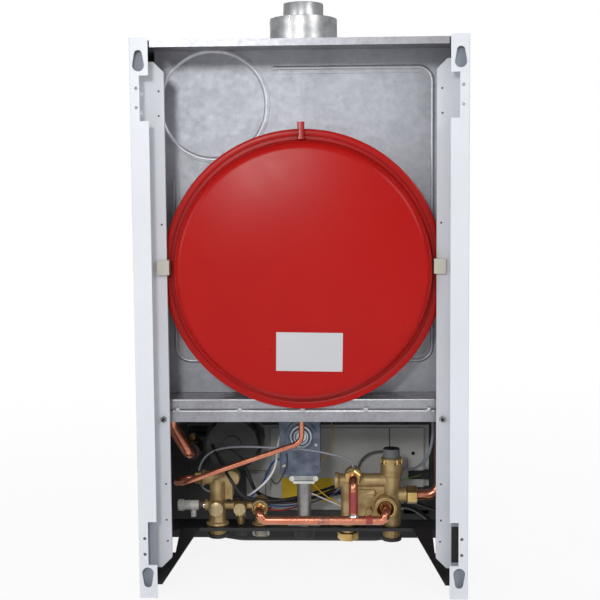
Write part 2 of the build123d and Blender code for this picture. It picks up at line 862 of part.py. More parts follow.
def gas_valve():
    """Die-cast valve block with its round diaphragm cover, coils and inlet bracket."""
    x = (gas_valve_x - gas_valve_width / 2, gas_valve_x + gas_valve_width / 2)
    rear = -gas_valve_rear
    front = rear - gas_valve_depth
    body = block(x, (front, rear), (gas_valve_foot, gas_valve_top))
    body = chamfer(body.edges().filter_by(Axis.Y), 4)
    cover = (gas_valve_x - 2, rear, gas_valve_top - 28)
    for step, radius in enumerate((gas_cover_radius, gas_cover_radius - 6, gas_cover_radius - 12)):
        body += bar(radius, cover, (0, 1, 0), 3 * (step + 1), 24)
    body -= bar(gas_cover_radius - 15, (cover[0], rear + 6, cover[2]), (0, 1, 0), 4, 24)
    body += block((x[0] + 8, x[1] - 8), (front - 22, front), (gas_valve_foot + 12, gas_valve_top - 14))
    body += block((gas_x - 20, gas_x + 20), (-port_depth - 14, -port_depth + 13), (gas_valve_foot - 10, gas_valve_foot))
    body += bar(12, (gas_x, gas_outlet_y, gas_valve_top), (0, 0, 1), 9)
    body -= hole(8.1, (gas_x, gas_outlet_y, gas_valve_top + 2.7), (0, 0, 1), 8)
    for screw_x in (x[0] + 8, x[1] - 8):
        for screw_z in (gas_valve_foot + 9, gas_valve_top - 7):
            body += hexagon(7, (screw_x, rear, screw_z), (0, 1, 0), 2.5)
    return body


def gas_inlet_pipe():
    """Steel gas pipe with its upper flange, base flange and threaded end."""
    top = gas_valve_foot - 10 - seat_gap
    y = -port_depth
    inlet = bar(gas_pipe_radius, (gas_x, y, top), (0, 0, -1), top - seat_z)
    inlet += block((gas_x - 16, gas_x + 16), (y - 13, y + 13), (top - 4, top))
    inlet += block((gas_x - 24, gas_x + 24), (y - 11, y + 11), (seat_z, seat_z + 3))
    for x in (gas_x - 19, gas_x + 19):
        inlet += hexagon(6, (x, y, seat_z + 3), (0, 0, 1), 5)
    inlet += bar(large_thread, (gas_x, y, thread_foot), (0, 0, 1), seat_z - thread_foot)
    return inlet - bar(gas_pipe_radius - 2, (gas_x, y, thread_foot - 1), (0, 0, 1), top - thread_foot + 2)


def vessel_rear_shell():
    """Red rear half: crowned face, rounded shoulder and flange."""
    wall = vessel_wall
    centre = (vessel_x, 0, vessel_z)
    flange = -vessel_rim_rear - wall - 0.2
    face = -vessel_face_rear
    shoulder = -vessel_shoulder_rear
    side = vessel_dome_radius - 1
    turn = shoulder - (side - vessel_face_radius)
    dish = [
        (vessel_dome_radius, flange - wall),
        (side, turn),
        (vessel_face_radius + 9, shoulder - 4),
        (vessel_face_radius, shoulder),
        (vessel_crown_radius, face),
    ]
    hollow = [
        (vessel_dome_radius - wall, flange - wall - 1),
        (vessel_dome_radius - wall, turn),
        (vessel_face_radius - wall, shoulder - 3 * wall),
        (vessel_crown_radius, face - 3 * wall),
    ]
    edge = vessel_rim_radius - wall - 0.4
    shell = dished(dish, centre, vessel_sides)
    shell += dished([(edge, flange - wall), (edge, flange)], centre, vessel_sides)
    return shell - dished(hollow, centre, vessel_sides)


def vessel_front_shell():
    """Front half whose edge is crimped over the flange of the rear half."""
    wall = vessel_wall
    centre = (vessel_x, 0, vessel_z)
    rear = -vessel_rim_rear
    plate = rear - vessel_rim_width
    radius = vessel_rim_radius
    neck = vessel_dome_radius - 1
    drum = [
        (neck, plate + 1),
        (neck - 1, plate - 22),
        (vessel_front_radius, 2 - vessel_front),
        (vessel_front_radius - 12, -vessel_front),
    ]
    hollow = [
        (neck - wall, plate + wall + 0.1),
        (neck - 1 - wall, plate - 22 + wall),
        (vessel_front_radius - wall, 2 + wall - vessel_front),
        (vessel_front_radius - 12, wall - vessel_front),
    ]
    shell = dished(drum, centre, vessel_sides)
    shell += dished([(radius, plate), (radius, rear)], centre, vessel_sides)
    shell -= dished([(radius - wall, plate + wall), (radius - wall, rear - wall)], centre, vessel_sides)
    shell -= dished([(vessel_dome_radius + 5, rear - wall - 1), (vessel_dome_radius + 5, rear + 1)], centre, vessel_sides)
    shell -= dished(hollow, centre, vessel_sides)
    return shell + bar(vessel_port_radius, (vessel_port_x, vessel_port_y, vessel_port_z), (0, 0, 1), 12)


def vessel_diaphragm():
    """Rubber diaphragm clamped between the two halves."""
    centre = (vessel_x, 0, vessel_z)
    rear = -vessel_rim_rear - 2 * vessel_wall - 0.4
    edge = vessel_rim_radius - vessel_wall - 1
    neck = vessel_dome_radius - 8
    disc = dished([(edge, rear - diaphragm), (edge, rear)], centre, vessel_sides)
    disc += dished([(120, -diaphragm_front), (neck, rear - diaphragm)], centre, vessel_sides)
    return disc - dished([(118, 2 - diaphragm_front), (neck - 2, rear + 0.1)], centre, vessel_sides)


def air_valve():
    """Charging valve of the vessel with its collar and cap."""
    foot = vessel_z + vessel_dome_radius
    height = air_valve_top - foot
    place = (air_valve_x, air_valve_y, foot)
    valve = bar(air_valve_radius, place, (0, 0, 1), height - 8)
    valve += bar(air_valve_radius + 1.3, place, (0, 0, 1), 4)
    return valve + bar(air_valve_radius + 0.8, (air_valve_x, air_valve_y, foot + height - 9), (0, 0, 1), 9)


def vessel_clips():
    """Plastic clips on the lips of the uprights that hold the rim."""
    z = (clip_z - clip_height / 2, clip_z + clip_height / 2)
    web = upright_depth
    body = block((upright_inner - 4, upright_inner + 12), (seat_gap - vessel_rim_rear, 8 - web), z)
    gap = block((upright_inner - 0.2, upright_inner + 13), (-web - upright_lip - 0.2, -web + 0.2), (z[0] - 1, z[1] + 1))
    clip = body - gap
    return [clip, mirrored(clip)]


def vessel_pipe_points():
    """Route of the thin pipe from the vessel down to the return group."""
    tee_y = -port_depth
    return [
        (vessel_port_x, vessel_port_y, vessel_port_z - 2),
        (vessel_port_x, vessel_port_y, vessel_pipe_knee_z),
        (vessel_pipe_hook_x, vessel_pipe_hook_y, return_tee_z),
        (vessel_pipe_hook_x, tee_y, return_tee_z),
        (return_x + return_tee_half + 6, tee_y, return_tee_z),
    ]


def vessel_pipe():
    """Thin copper pipe with a hook before its nut."""
    hook = (port_depth + vessel_pipe_hook_y) / 2 - 1
    return pipe(vessel_pipe_radius, vessel_pipe_points(), [16, hook, hook])


def return_group():
    """Cast brass group of the heating return and the cold water inlet."""
    y = -port_depth
    back = (0, 1, 0)
    up = (0, 0, 1)
    group = bar(return_base_radius, (return_x, y, seat_z + 4), up, 16)
    group += bar(return_base_radius + 4, (return_x, y, seat_z), up, 4)
    group += bar(return_riser_radius, (return_x, y, seat_z + 4), up, return_tee_z - seat_z - 4)
    group += bar(return_tee_radius, (return_x - return_tee_half, y, return_tee_z), (1, 0, 0), 2 * return_tee_half)
    group += bar(return_ball_radius, (return_x - return_tee_half, y - 12, return_tee_z), back, 22)
    group += bar(return_cross_radius, (cold_x, y, return_cross_z), (1, 0, 0), return_x - cold_x + 20, 10)
    group += bar(return_disc_radius, (return_x, y, return_cross_z), back, port_depth - boss_rear, 20)
    group += bar(tap_disc_radius, (tap_x, y, return_cross_z), back, port_depth - boss_rear, 20)
    group += bar(6, (tap_x, y, return_cross_z), (0, 0, -1), 27, 8)
    group += block((return_x - 24, return_x - 11), (y - 10, y + 9), (return_tee_z - 32, return_tee_z))
    group += bar(cold_boss_radius, (cold_x, y - 8, return_cross_z + 2), back, 34)
    group += bar(9, (cold_x, y, seat_z + 3), up, return_cross_z - seat_z - 3, 10)
    group += bar(13, (cold_x, y, seat_z), up, 3)
    group += bar(large_thread, (return_x, y, thread_foot), up, seat_z - thread_foot)
    small_foot = thread_foot + small_thread_rise
    group += bar(small_thread, (cold_x, y, small_foot), up, seat_z - small_foot)
    branch = pump_split + pump_wall - port_depth - seat_gap
    group += bar(pump_branch_radius, (return_x, y, pump_branch_z), (0, -1, 0), branch, 10)
    group += bar(safety_radius, (return_x, y, return_cross_z - 4), (0, -1, 0), safety_length, 10)
    group -= hole(vessel_pipe_radius + 0.1, (return_x + return_tee_half - 5, y, return_tee_z), (1, 0, 0), 10, 10)
    group -= hole(bypass_radius + 0.1, (cold_x, y + 12, return_cross_z + 2), back, 20, 12)
    group -= rod(3 + knob_clearance, (return_x, y - safety_length, return_cross_z - 4), back, 12)
    return group - rod(2.5 + knob_clearance, (tap_x, y, return_cross_z - 29), up, 12)


def flow_group():
    """Cast brass group of the heating flow and the hot water outlet, with the valve bonnet."""
    y = -port_depth
    back = (0, 1, 0)
    up = (0, 0, 1)
    valve = (flow_x, y)
    group = bar(14, (*valve, seat_z), up, side_port_z - seat_z)
    group += bar(cartridge_radius, (*valve, side_port_z), up, bonnet_foot - side_port_z)
    group += bar(bonnet_radius, (*valve, bonnet_foot), up, bonnet_top - bonnet_foot - 8, 18)
    group += bar(bonnet_radius - 1.5, (*valve, bonnet_top - 8), up, 8, 18)
    group += bar(flow_bar_radius, (flow_x, y, flow_bar_z), (1, 0, 0), flow_bar_end - flow_x)
    group += bar(flow_bar_radius + 1.5, (flow_bar_end - 6, y, flow_bar_z), (1, 0, 0), 6)
    group += bar(10, (hot_x, y, seat_z), up, flow_bar_z - seat_z, 12)
    group += bar(13, (hot_x, y, seat_z), up, 4)
    group += block((flow_x, hot_x), (y - 7, y + 7), (seat_z + 8, flow_bar_z))
    group += bar(flow_boss_radius, (flow_boss_x, y, flow_boss_z), back, 22)
    group += bar(eye_radius, (eye_x, y, eye_z), back, port_depth - boss_rear + 3, 20)
    group += bar(flow_bar_radius, (flow_x, y, side_port_z), (-1, 0, 0), 22)
    group += bar(5, (eye_x + 24, y, eye_z - 9), back, 14, 10)
    group += bar(3, (eye_x + 24, y + 7, eye_z - 2), (0, 0, -1), 18, 8)
    flow_foot = thread_foot - flow_thread_drop
    group += bar(large_thread, (*valve, flow_foot), up, seat_z - flow_foot)
    small_foot = thread_foot + small_thread_rise
    group += bar(small_thread, (hot_x, y, small_foot), up, seat_z - small_foot)
    group -= bar(eye_bore, (eye_x, -boss_rear - 3, eye_z), back, 8, 20)
    group -= hole(bypass_radius + 0.1, (eye_x, -boss_rear - 8, eye_z), back, 6, 12)
    group -= hole(bypass_radius + 0.1, (flow_boss_x, y + 12, flow_boss_z), back, 12, 12)
    group -= hole(8, (*valve, bonnet_foot - 18), up, bonnet_top - bonnet_foot + 19, 12)
    group -= rod(3 + knob_clearance, (*valve, bonnet_foot - 26), up, 12)
    return group - hole(flow_pipe_radius + 0.1, (flow_x - 30, y, side_port_z), (1, 0, 0), 12, 12)


def valve_cap():
    """Push-in cap that closes the bonnet."""
    place = (flow_x, -port_depth, bonnet_top + seat_gap)
    cap = bar(valve_cap_radius, place, (0, 0, 1), valve_cap_top - bonnet_top - seat_gap)
    return cap + bar(7.8, place, (0, 0, -1), 6)


def valve_spindle():
    """Spindle with its disc that lifts when hot water is drawn."""
    foot = bonnet_foot - 25
    spindle = rod(3, (flow_x, -port_depth, foot), (0, 0, 1), bonnet_top - 12 - foot)
    return spindle + bar(7.5, (flow_x, -port_depth, bonnet_foot - 17.7), (0, 0, 1), 4, 12)


def drain_cock():
    """Grey plastic drain cock with its spout."""
    start = return_x + 20 + seat_gap
    y = -port_depth
    cock = bar(5, (start, y, drain_z), (1, 0, 0), 8, 10)
    cock += bar(7.5, (start + 8, y, drain_z), (1, 0, 0), drain_knob_x - start - 14, 12)
    cock += bar(4, (start + 16, y, drain_z), (0, 0, -1), 17, 8)
    return cock - rod(3 + knob_clearance, (drain_knob_x - 16, y, drain_z), (1, 0, 0), 12)


def grip(radius, lobes, start, direction, length):
    """Knob body with flat-sided ribs."""
    outer = RegularPolygon(radius, lobes)
    turned_copy = Rot(0, 0, 180 / lobes) * RegularPolygon(radius * 0.98, lobes)
    return extrude(Plane(origin=start, z_dir=direction) * (outer + turned_copy), amount=length)


def drain_knob():
    """Ribbed knob of the drain cock on its stem."""
    face = (drain_knob_x - 6 + seat_gap, -port_depth, drain_z)
    return grip(drain_knob_radius, 10, face, (1, 0, 0), 10) + rod(3, face, (-1, 0, 0), 9)


def filling_knob():
    """Small knob of the filling tap below the tray."""
    foot = tray_top - 16
    knob = grip(8, 8, (tap_x, -port_depth, foot), (0, 0, 1), 12)
    return knob + rod(2.5, (tap_x, -port_depth, foot + 12), (0, 0, 1), return_cross_z - 20 - foot - 12)


def safety_knob():
    """Knob of the safety valve on the front of the return group."""
    face = (return_x, -port_depth - safety_length - seat_gap, return_cross_z - 4)
    return grip(12, 8, face, (0, -1, 0), 14) + rod(3, face, (0, 1, 0), 10)


def pump_body():
    """Pump volute with its inlet, its outlet channel and the socket for the copper pipe."""
    y = -pump_front
    body = bar(pump_radius, (pump_x, y, pump_z), (0, 1, 0), pump_front - pump_split, 24)
    channel = (pump_port_z - 14, pump_port_z + 14)
    body += block((pump_x, pump_port_x + 13), (y, -pump_split), channel)
    rear_end = -pump_split + 44
    body += bar(pump_port_radius, (pump_port_x, -pump_split, pump_port_z), (0, 1, 0), 44)
    depth = (y, -pump_split - pump_wall)
    body += block((return_x - 12, return_x + 12), depth, (pump_branch_z - 11, pump_z))
    body -= hole(return_pipe_radius + 0.1, (pump_port_x, rear_end - 14, pump_port_z), (0, 1, 0), 16, 12)
    body -= hole(impeller_radius + 2, (pump_x, y + pump_wall, pump_z), (0, 1, 0), pump_front - pump_split, 20)
    return body


def pump_motor():
    """Black motor can behind the volute, bored for the shaft."""
    face = -pump_split + 0.2
    motor = bar(pump_motor_radius, (pump_x, face, pump_z), (0, 1, 0), -face - pump_rear, 24)
    motor += bar(14, (pump_x, -pump_rear, pump_z), (0, 1, 0), 4)
    terminal = (-pump_rear - 30, -pump_rear - 4)
    motor += block((pump_x - 26, pump_x + 14), terminal, (pump_z + 30, pump_z + 52))
    return motor - rod(shaft_radius + knob_clearance, (pump_x, face - 1, pump_z), (0, 1, 0), 27)


def pump_impeller():
    """Impeller disc with vanes and its shaft."""
    back = -pump_split - 3
    wheel = bar(impeller_radius, (pump_x, back - 2, pump_z), (0, 1, 0), 2, 18)
    vane = block((6, impeller_radius - 1), (-12, -1.5), (-1, 1))
    for step in range(6):
        wheel += Pos(pump_x, back, pump_z) * Rot(0, 60 * step, 0) * vane
    wheel += bar(7, (pump_x, back - 12, pump_z), (0, 1, 0), 10.5)
    return wheel + rod(shaft_radius, (pump_x, back, pump_z), (0, 1, 0), 26)


def flow_pipe():
    """Copper pipe from the exchanger down to the flow group."""
    x = -flow_drop_x()
    y = -port_depth
    start = -stack_half - 4
    points = [(start, y, exchanger_port_z), (x, y, exchanger_port_z), (x, y, side_port_z), (flow_x - 24, y, side_port_z)]
    return pipe(flow_pipe_radius, points, 20)


def return_pipe():
    """Large copper pipe from the pump up to the exchanger."""
    x = flow_drop_x()
    y = -port_depth
    start = stack_half + 4
    end = -pump_split + 31
    points = [
        (start, y, exchanger_port_z),
        (x, y, exchanger_port_z),
        (x, y, pump_port_z + 44),
        (pump_port_x, y, pump_port_z),
        (pump_port_x, end, pump_port_z),
    ]
    return pipe(return_pipe_radius, points, [20, 26, 14])


def bypass_pipe():
    """Thin copper pipe between the groups with the brazed branch to the flow group."""
    y = -97
    z = -656
    top = return_cross_z + 2
    points = [
        (cold_x, -port_depth + 14, top),
        (cold_x, y, top),
        (cold_x - 8, y, z),
        (eye_x + 4, y, z),
        (eye_x, y, eye_z),
        (eye_x, -boss_rear - 7, eye_z),
    ]
    main = pipe(bypass_radius, points, [6.5, 6, 7, 6.5])
    boss = (flow_boss_x, -port_depth + 14, flow_boss_z)
    branch = pipe(bypass_radius, [boss, (flow_boss_x, y, flow_boss_z), (flow_boss_x, y, z)], 12)
    return main + branch


def connection_caps():
    """Transport caps on the threaded ends: three black ones and a deeper clear one."""
    y = -port_depth
    specs = [(x, large_thread, thread_foot - drop, cap_depth, cap_wall) for x, drop in
             ((return_x, 0), (gas_x, 0), (flow_x, flow_thread_drop))]
    specs.append((cold_x, small_thread, thread_foot + small_thread_rise, clear_cap_depth, 2 * cap_wall))
    caps = []
    for x, radius, thread_end, depth, wall in specs:
        foot = thread_end - cap_wall - seat_gap
        bore = hole(radius + cap_clearance, (x, y, foot + cap_wall), (0, 0, 1), depth)
        caps.append(bar(radius + cap_clearance + wall + 0.4, (x, y, foot), (0, 0, 1), depth) - bore)
    return caps


def union_nut(flats, bore, start, direction, length):
    """Hexagon nut with its bore clear of the pipe in it."""
    opening = hole(bore, Vector(*start) - Vector(*direction), direction, length + 2, 10)
    return hexagon(flats, start, direction, length) - opening


def brass_nuts():
    """Union nuts of the vessel pipe, the flow pipe, the branch pipe and the hot water outlet."""
    y = -port_depth
    back = (0, 1, 0)
    thin = vessel_pipe_radius + 0.1
    middle = bypass_radius + 0.1
    tee_end = return_x + return_tee_half + seat_gap
    side_start = flow_x - 22 - seat_gap
    vessel_end = (vessel_port_x, vessel_port_y, vessel_port_z - seat_gap)
    outlet_foot = thread_foot + small_thread_rise - 8.5
    return [
        union_nut(vessel_nut_flats, thin, vessel_end, (0, 0, -1), 12),
        union_nut(vessel_nut_flats, thin, (tee_end, y, return_tee_z), (1, 0, 0), 11),
        union_nut(side_nut_flats, flow_pipe_radius + 0.1, (side_start, y, side_port_z), (-1, 0, 0), side_start - side_nut_end),
        union_nut(22, middle, (flow_boss_x, y + 22 + seat_gap, flow_boss_z), back, 9),
        union_nut(18, middle, (cold_x, y + 26 + seat_gap, return_cross_z + 2), back, 8),
        union_nut(outlet_nut_flats, small_thread + 0.1, (hot_x, y, outlet_foot), (0, 0, 1), 12.5),
    ]


def box_profile(inset):
    """Side outline of the control box with its rounded lower edges."""
    front = -box_front + inset
    rear = -box_rear - inset
    top = box_top - inset
    foot = case_foot + inset
    section = make_face(Polyline((front, top), (rear, top), (rear, foot), (front, foot), close=True))
    lower = section.vertices().filter_by(lambda v: v.Y < foot + 0.1)
    section = fillet(lower.sort_by(Axis.X)[:1], box_belly - inset)
    return fillet(section.vertices().filter_by(lambda v: v.Y < foot + 0.1).sort_by(Axis.X)[-1:], 10 - inset)


def control_box():
    """Black control box, open at the back and raised at its lower sides, with its hinge pins."""
    parts = []
    for inset in (0, box_wall):
        half = box_half - inset
        plane = Plane(origin=(-half, 0, 0), x_dir=(0, 1, 0), z_dir=(1, 0, 0))
        shell = extrude(plane * box_profile(inset), amount=2 * half)
        foot = case_foot + inset
        corner = Polyline(
            (box_lift_from, foot - 1),
            (box_lift_from, foot),
            (box_lift_to, foot + box_side_lift),
            (box_half + 1, foot + box_side_lift),
            (box_half + 1, foot - 1),
            close=True,
        )
        plane = Plane(origin=(0, -box_rear - box_belly, 0), x_dir=(1, 0, 0), z_dir=(0, -1, 0))
        lift = extrude(plane * make_face(corner), amount=-box_belly - 1)
        parts.append(shell - lift - mirrored(lift))
    box = parts[0] - parts[1]
    window = back_half - 5
    box -= block((-window, window), (-box_rear - box_wall - 1, 1 - box_rear), (case_foot + 18, box_top - 8))
    for x in (heating_knob_x, water_knob_x):
        box -= rod(knob_shaft + knob_clearance, (x, -box_front - 1, control_z), (0, 1, 0), 6)
    box -= hole(gauge_radius + 0.1, (gauge_x, -box_front - 1, control_z), (0, 1, 0), 6, 24)
    box -= rod(button_radius + knob_clearance, (button_x, -box_front - 1, control_z), (0, 1, 0), 6)
    for side in (-1, 1):
        length = inner_half - 0.4 - box_half + 1
        box += rod(hinge_radius, (side * (box_half - 1), hinge_y, hinge_z), (side, 0, 0), length)
    return box


def control_box_back():
    """Grey moulded rear cover of the control box with its stepped relief."""
    foot = case_foot + 12
    top = box_top - 1
    rear = -box_rear
    cover = block((-back_half, back_half), (rear, rear + back_thickness), (foot, top))
    relief = block((-back_half + 6, 61), (rear, rear + back_relief), (foot + 28, top - 4))
    cover += chamfer(relief.edges().filter_by(Axis.Z).group_by(Axis.Y)[-1], 3)
    cover += block((66, 150), (rear, rear + back_relief - 3), (foot + 14, foot + 102))
    cover -= block((-back_half + 9, 58), (rear - 1, rear + back_relief - 2.5), (foot + 31, top - 7))
    return cover - hole(2.6, (-166, rear - 1, -592), (0, 1, 0), back_relief + 2, 8)


def circuit_board():
    """Control board with its transformer, relays and standoffs."""
    rear = -box_rear - 9
    foot = case_foot + 26.5
    top = foot + 132
    face = rear - 1.6
    board = block((-160, 60), (face, rear), (foot, top))
    board += block((-150, -104), (rear - 30, face), (foot + 8, foot + 48))
    for x in (-90, -66, -42):
        board += block((x, x + 18), (rear - 16, face), (foot + 12, foot + 36))
    board += block((-20, 40), (rear - 12, face), (foot + 6, foot + 22))
    for x in (-154, 50):
        for z in (foot + 6, top - 8):
            board += block((x, x + 6), (rear, -box_rear - seat_gap), (z, z + 6))
    return board


def turning_knob(x):
    """Control knob with a pointer ridge on a shaft through the fascia."""
    face = (x, -box_front - seat_gap, control_z)
    knob = grip(knob_radius, 16, face, (0, -1, 0), 4)
    ridge = block((x - 3, x + 3), (-box_front - knob_height, -box_front - 4), (control_z - 15, control_z + 15))
    return knob + ridge + rod(knob_shaft, face, (0, 1, 0), 9)


def reset_button():
    """Reset button with a retaining collar inside the fascia."""
    front = -box_front - button_travel - 1.5
    button = rod(button_radius, (button_x, front, control_z), (0, 1, 0), 9)
    return button + bar(button_radius + 2, (button_x, -box_front + box_wall + seat_gap, control_z), (0, 1, 0), 2)


def pressure_gauge():
    """Gauge can with a recessed dial and the bearing of its needle."""
    back = (0, 1, 0)
    front = (gauge_x, -box_front - 1, control_z)
    can = bar(gauge_radius, front, back, gauge_depth, 24)
    can += bar(gauge_radius + 2, (gauge_x, front[1] - 1, control_z), back, 1.7, 24)
    can -= bar(gauge_radius - 2, (gauge_x, front[1] - 2, control_z), back, 7, 24)
    return can - rod(1 + knob_clearance, front, back, 12)


def gauge_needle():
    """Needle on its pin."""
    back = -box_front + 2
    needle = block((gauge_x - 0.7, gauge_x + 0.7), (back, back + 0.8), (control_z - 4, control_z + 14))
    needle += bar(2.5, (gauge_x, back - 0.5, control_z), (0, 1, 0), 1.8, 10)
    return needle + rod(1, (gauge_x, back + 1, control_z), (0, 1, 0), 6)


def cable(radius, points, radii):
    """Cable of hexagonal section along its route."""
    return bent(RegularPolygon(radius, 6), points, radii)


def cables():
    """Main cables that cross the pipe bay, from one fixed piece to another."""
    boss_top = flow_boss_z + flow_boss_radius + seat_gap
    riser_side = return_x + return_riser_radius + seat_gap
    motor_rear = -pump_rear + seat_gap
    cover_face = -box_rear + back_relief
    grey = [
        (riser_side, -152, -628),
        (160, -160, -625),
        (168, -178, -604),
        (150, -166, -570),
        (110, -140, -556),
        (55, -116, -553),
        (0, -112, -554),
        (-48, -120, -566),
        (flow_boss_x, -137, -575),
        (flow_boss_x, -137, boss_top),
    ]
    black = [
        (95, motor_rear, -586),
        (95, motor_rear + 14, -587),
        (84, -155, -606),
        (78, -164, -634),
        (48, -178, -650),
        (0, cover_face + 53, -652),
        (-50, cover_face + 27, -650),
        (-62, cover_face + 12, -650),
        (-62, cover_face + seat_gap, -650),
    ]
    valve_side = gas_valve_x + gas_valve_width / 2 + seat_gap
    block_face = cover_face - 3
    blue = [
        (valve_side, -180, -585),
        (valve_side + 10, -180, -585),
        (56, -186, -598),
        (70, block_face + 52, -634),
        (86, block_face + 24, -655),
        (92, block_face + 12, -660),
        (92, block_face + seat_gap, -660),
    ]
    return [cable(cable_radius, grey, 7), cable(thick_cable_radius, black, 7), cable(cable_radius, blue, 6)]


right_panel = side_panel()
save("side_panel_right", right_panel)
save("side_panel_left", mirrored(right_panel))
right_upright = inner_upright()
save("inner_upright_right", right_upright)
save("inner_upright_left", mirrored(right_upright))
save("front_cover", front_cover())
save("top_frame", top_frame())
save("chamber_back_plate", chamber_back_plate())
save("chamber_shell", chamber_shell())
save("chamber_cover", chamber_cover())
save("sight_glass", sight_glass())
save("crossbar", crossbar())
save("support_tray", support_tray())
save("case_screws", *case_screws())
save("flue_outer_collar", flue_outer_collar())
save("flue_inner_collar", flue_inner_collar())
save("flue_hood", flue_hood())
save("fan_housing", fan_housing())
save("fan_motor", fan_motor())
save("fan_wheel", fan_wheel())
save("air_pressure_switch", air_pressure_switch())
save("combustion_casing", combustion_casing())
save("combustion_lining", combustion_lining())
save("heat_exchanger", heat_exchanger())
save("burner", burner())
save("gas_manifold", gas_manifold())
save("electrodes", *electrodes())
save("gas_valve", gas_valve())
save("gas_inlet_pipe", gas_inlet_pipe())
save("vessel_rear_shell", vessel_rear_shell())
save("vessel_front_shell", vessel_front_shell())
save("vessel_diaphragm", vessel_diaphragm())
save("vessel_air_valve", air_valve())
save("vessel_clips", *vessel_clips())
save("vessel_pipe", vessel_pipe())
save("return_group", return_group())
save("flow_group", flow_group())
save("valve_cap", valve_cap())
save("valve_spindle", valve_spindle())
save("drain_cock", drain_cock())
save("drain_knob", drain_knob())
save("filling_knob", filling_knob())
save("safety_knob", safety_knob())
save("pump_body", pump_body())
save("pump_motor", pump_motor())
save("pump_impeller", pump_impeller())
save("flow_pipe", flow_pipe())
save("return_pipe", return_pipe())
save("bypass_pipe", bypass_pipe())
save("connection_caps", *connection_caps())
save("brass_nuts", *brass_nuts())
save("control_box", control_box())
save("control_box_back", control_box_back())
save("circuit_board", circuit_board())
save("heating_knob", turning_knob(heating_knob_x))
save("water_knob", turning_knob(water_knob_x))
save("reset_button", reset_button())
save("pressure_gauge", pressure_gauge())
save("gauge_needle", gauge_needle())
save("cables", *cables())
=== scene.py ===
"""Looks of a wall-hung gas boiler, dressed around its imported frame."""

import json
from contextlib import contextmanager
from math import cos, hypot, pi, radians, sin, tan

import bmesh
import bpy
from mathutils import Matrix, Vector

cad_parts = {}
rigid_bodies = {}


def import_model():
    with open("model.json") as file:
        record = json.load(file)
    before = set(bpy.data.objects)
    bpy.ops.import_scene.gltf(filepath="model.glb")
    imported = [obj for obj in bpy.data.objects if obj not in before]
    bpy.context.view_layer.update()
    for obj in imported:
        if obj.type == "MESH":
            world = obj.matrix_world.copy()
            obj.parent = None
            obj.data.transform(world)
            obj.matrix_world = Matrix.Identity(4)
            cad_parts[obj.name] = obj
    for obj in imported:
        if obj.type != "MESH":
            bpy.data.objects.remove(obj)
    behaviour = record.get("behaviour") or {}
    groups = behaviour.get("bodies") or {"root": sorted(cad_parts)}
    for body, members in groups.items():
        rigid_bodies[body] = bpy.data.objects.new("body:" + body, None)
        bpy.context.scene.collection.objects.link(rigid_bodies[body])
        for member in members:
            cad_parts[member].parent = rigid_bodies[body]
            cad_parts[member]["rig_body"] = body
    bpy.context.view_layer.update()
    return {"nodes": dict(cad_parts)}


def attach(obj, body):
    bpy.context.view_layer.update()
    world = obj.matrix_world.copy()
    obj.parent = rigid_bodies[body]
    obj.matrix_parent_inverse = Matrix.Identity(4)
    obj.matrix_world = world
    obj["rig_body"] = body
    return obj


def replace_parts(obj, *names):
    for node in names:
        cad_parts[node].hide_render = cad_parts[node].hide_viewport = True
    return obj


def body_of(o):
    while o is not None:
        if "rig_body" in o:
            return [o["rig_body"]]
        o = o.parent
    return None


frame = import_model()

nodes = frame["nodes"]
scene = bpy.context.scene
mm = 0.001

# Camera, fitted to the case corners, the flue collars and the vessel
camera_place = (-0.0570, 1.5180, -0.19995)
camera_focal = 68.246
camera_sensor = 36.0
camera_turn = (0.0838494, 0.0379130, -0.0049070)

# Sizes of the case and the vessel, in millimetres
case_foot = -738.5
port_depth = 150.0
ports = {"return": 132.5, "cold": 67.5, "gas": 2.5, "hot": -62.5, "flow": -127.5}
vessel_centre = (-2.0, 0.0, -290.0)
crown_radius = 163.0
group_foot = -676.9
thread_top = -678.6
thread_foot = -694.4
main_thread = 13.25
branch_x = -70.5
upright_holes = ((191, -46), (191.5, -79), (190, -226), (190.5, -586), (190.5, -637), (189.5, -667))

# Strength of the pale surroundings
world_light = 0.4


def linear(value):
    """Linear value of a display value from 0 to 255."""
    share = value / 255
    return share / 12.92 if share <= 0.04045 else ((share + 0.055) / 1.055) ** 2.4


def colour(red, green, blue):
    """Linear colour of a display colour."""
    return (linear(red), linear(green), linear(blue), 1.0)


def shade(base, factor):
    """A darker or lighter form of a linear colour."""
    return tuple(min(1.0, part * factor) for part in base[:3]) + (1.0,)


class Tree:
    """A node tree whose nodes are added one at a time."""

    def __init__(self, tree):
        self.tree = tree

    def node(self, kind, **values):
        """Add a node and set its sockets by name and its properties by attribute."""
        made = self.tree.nodes.new(kind)
        for key, value in values.items():
            if key in made.inputs:
                made.inputs[key].default_value = value
            else:
                setattr(made, key, value)
        return made

    def link(self, output, target):
        self.tree.links.new(output, target)
        return target.node


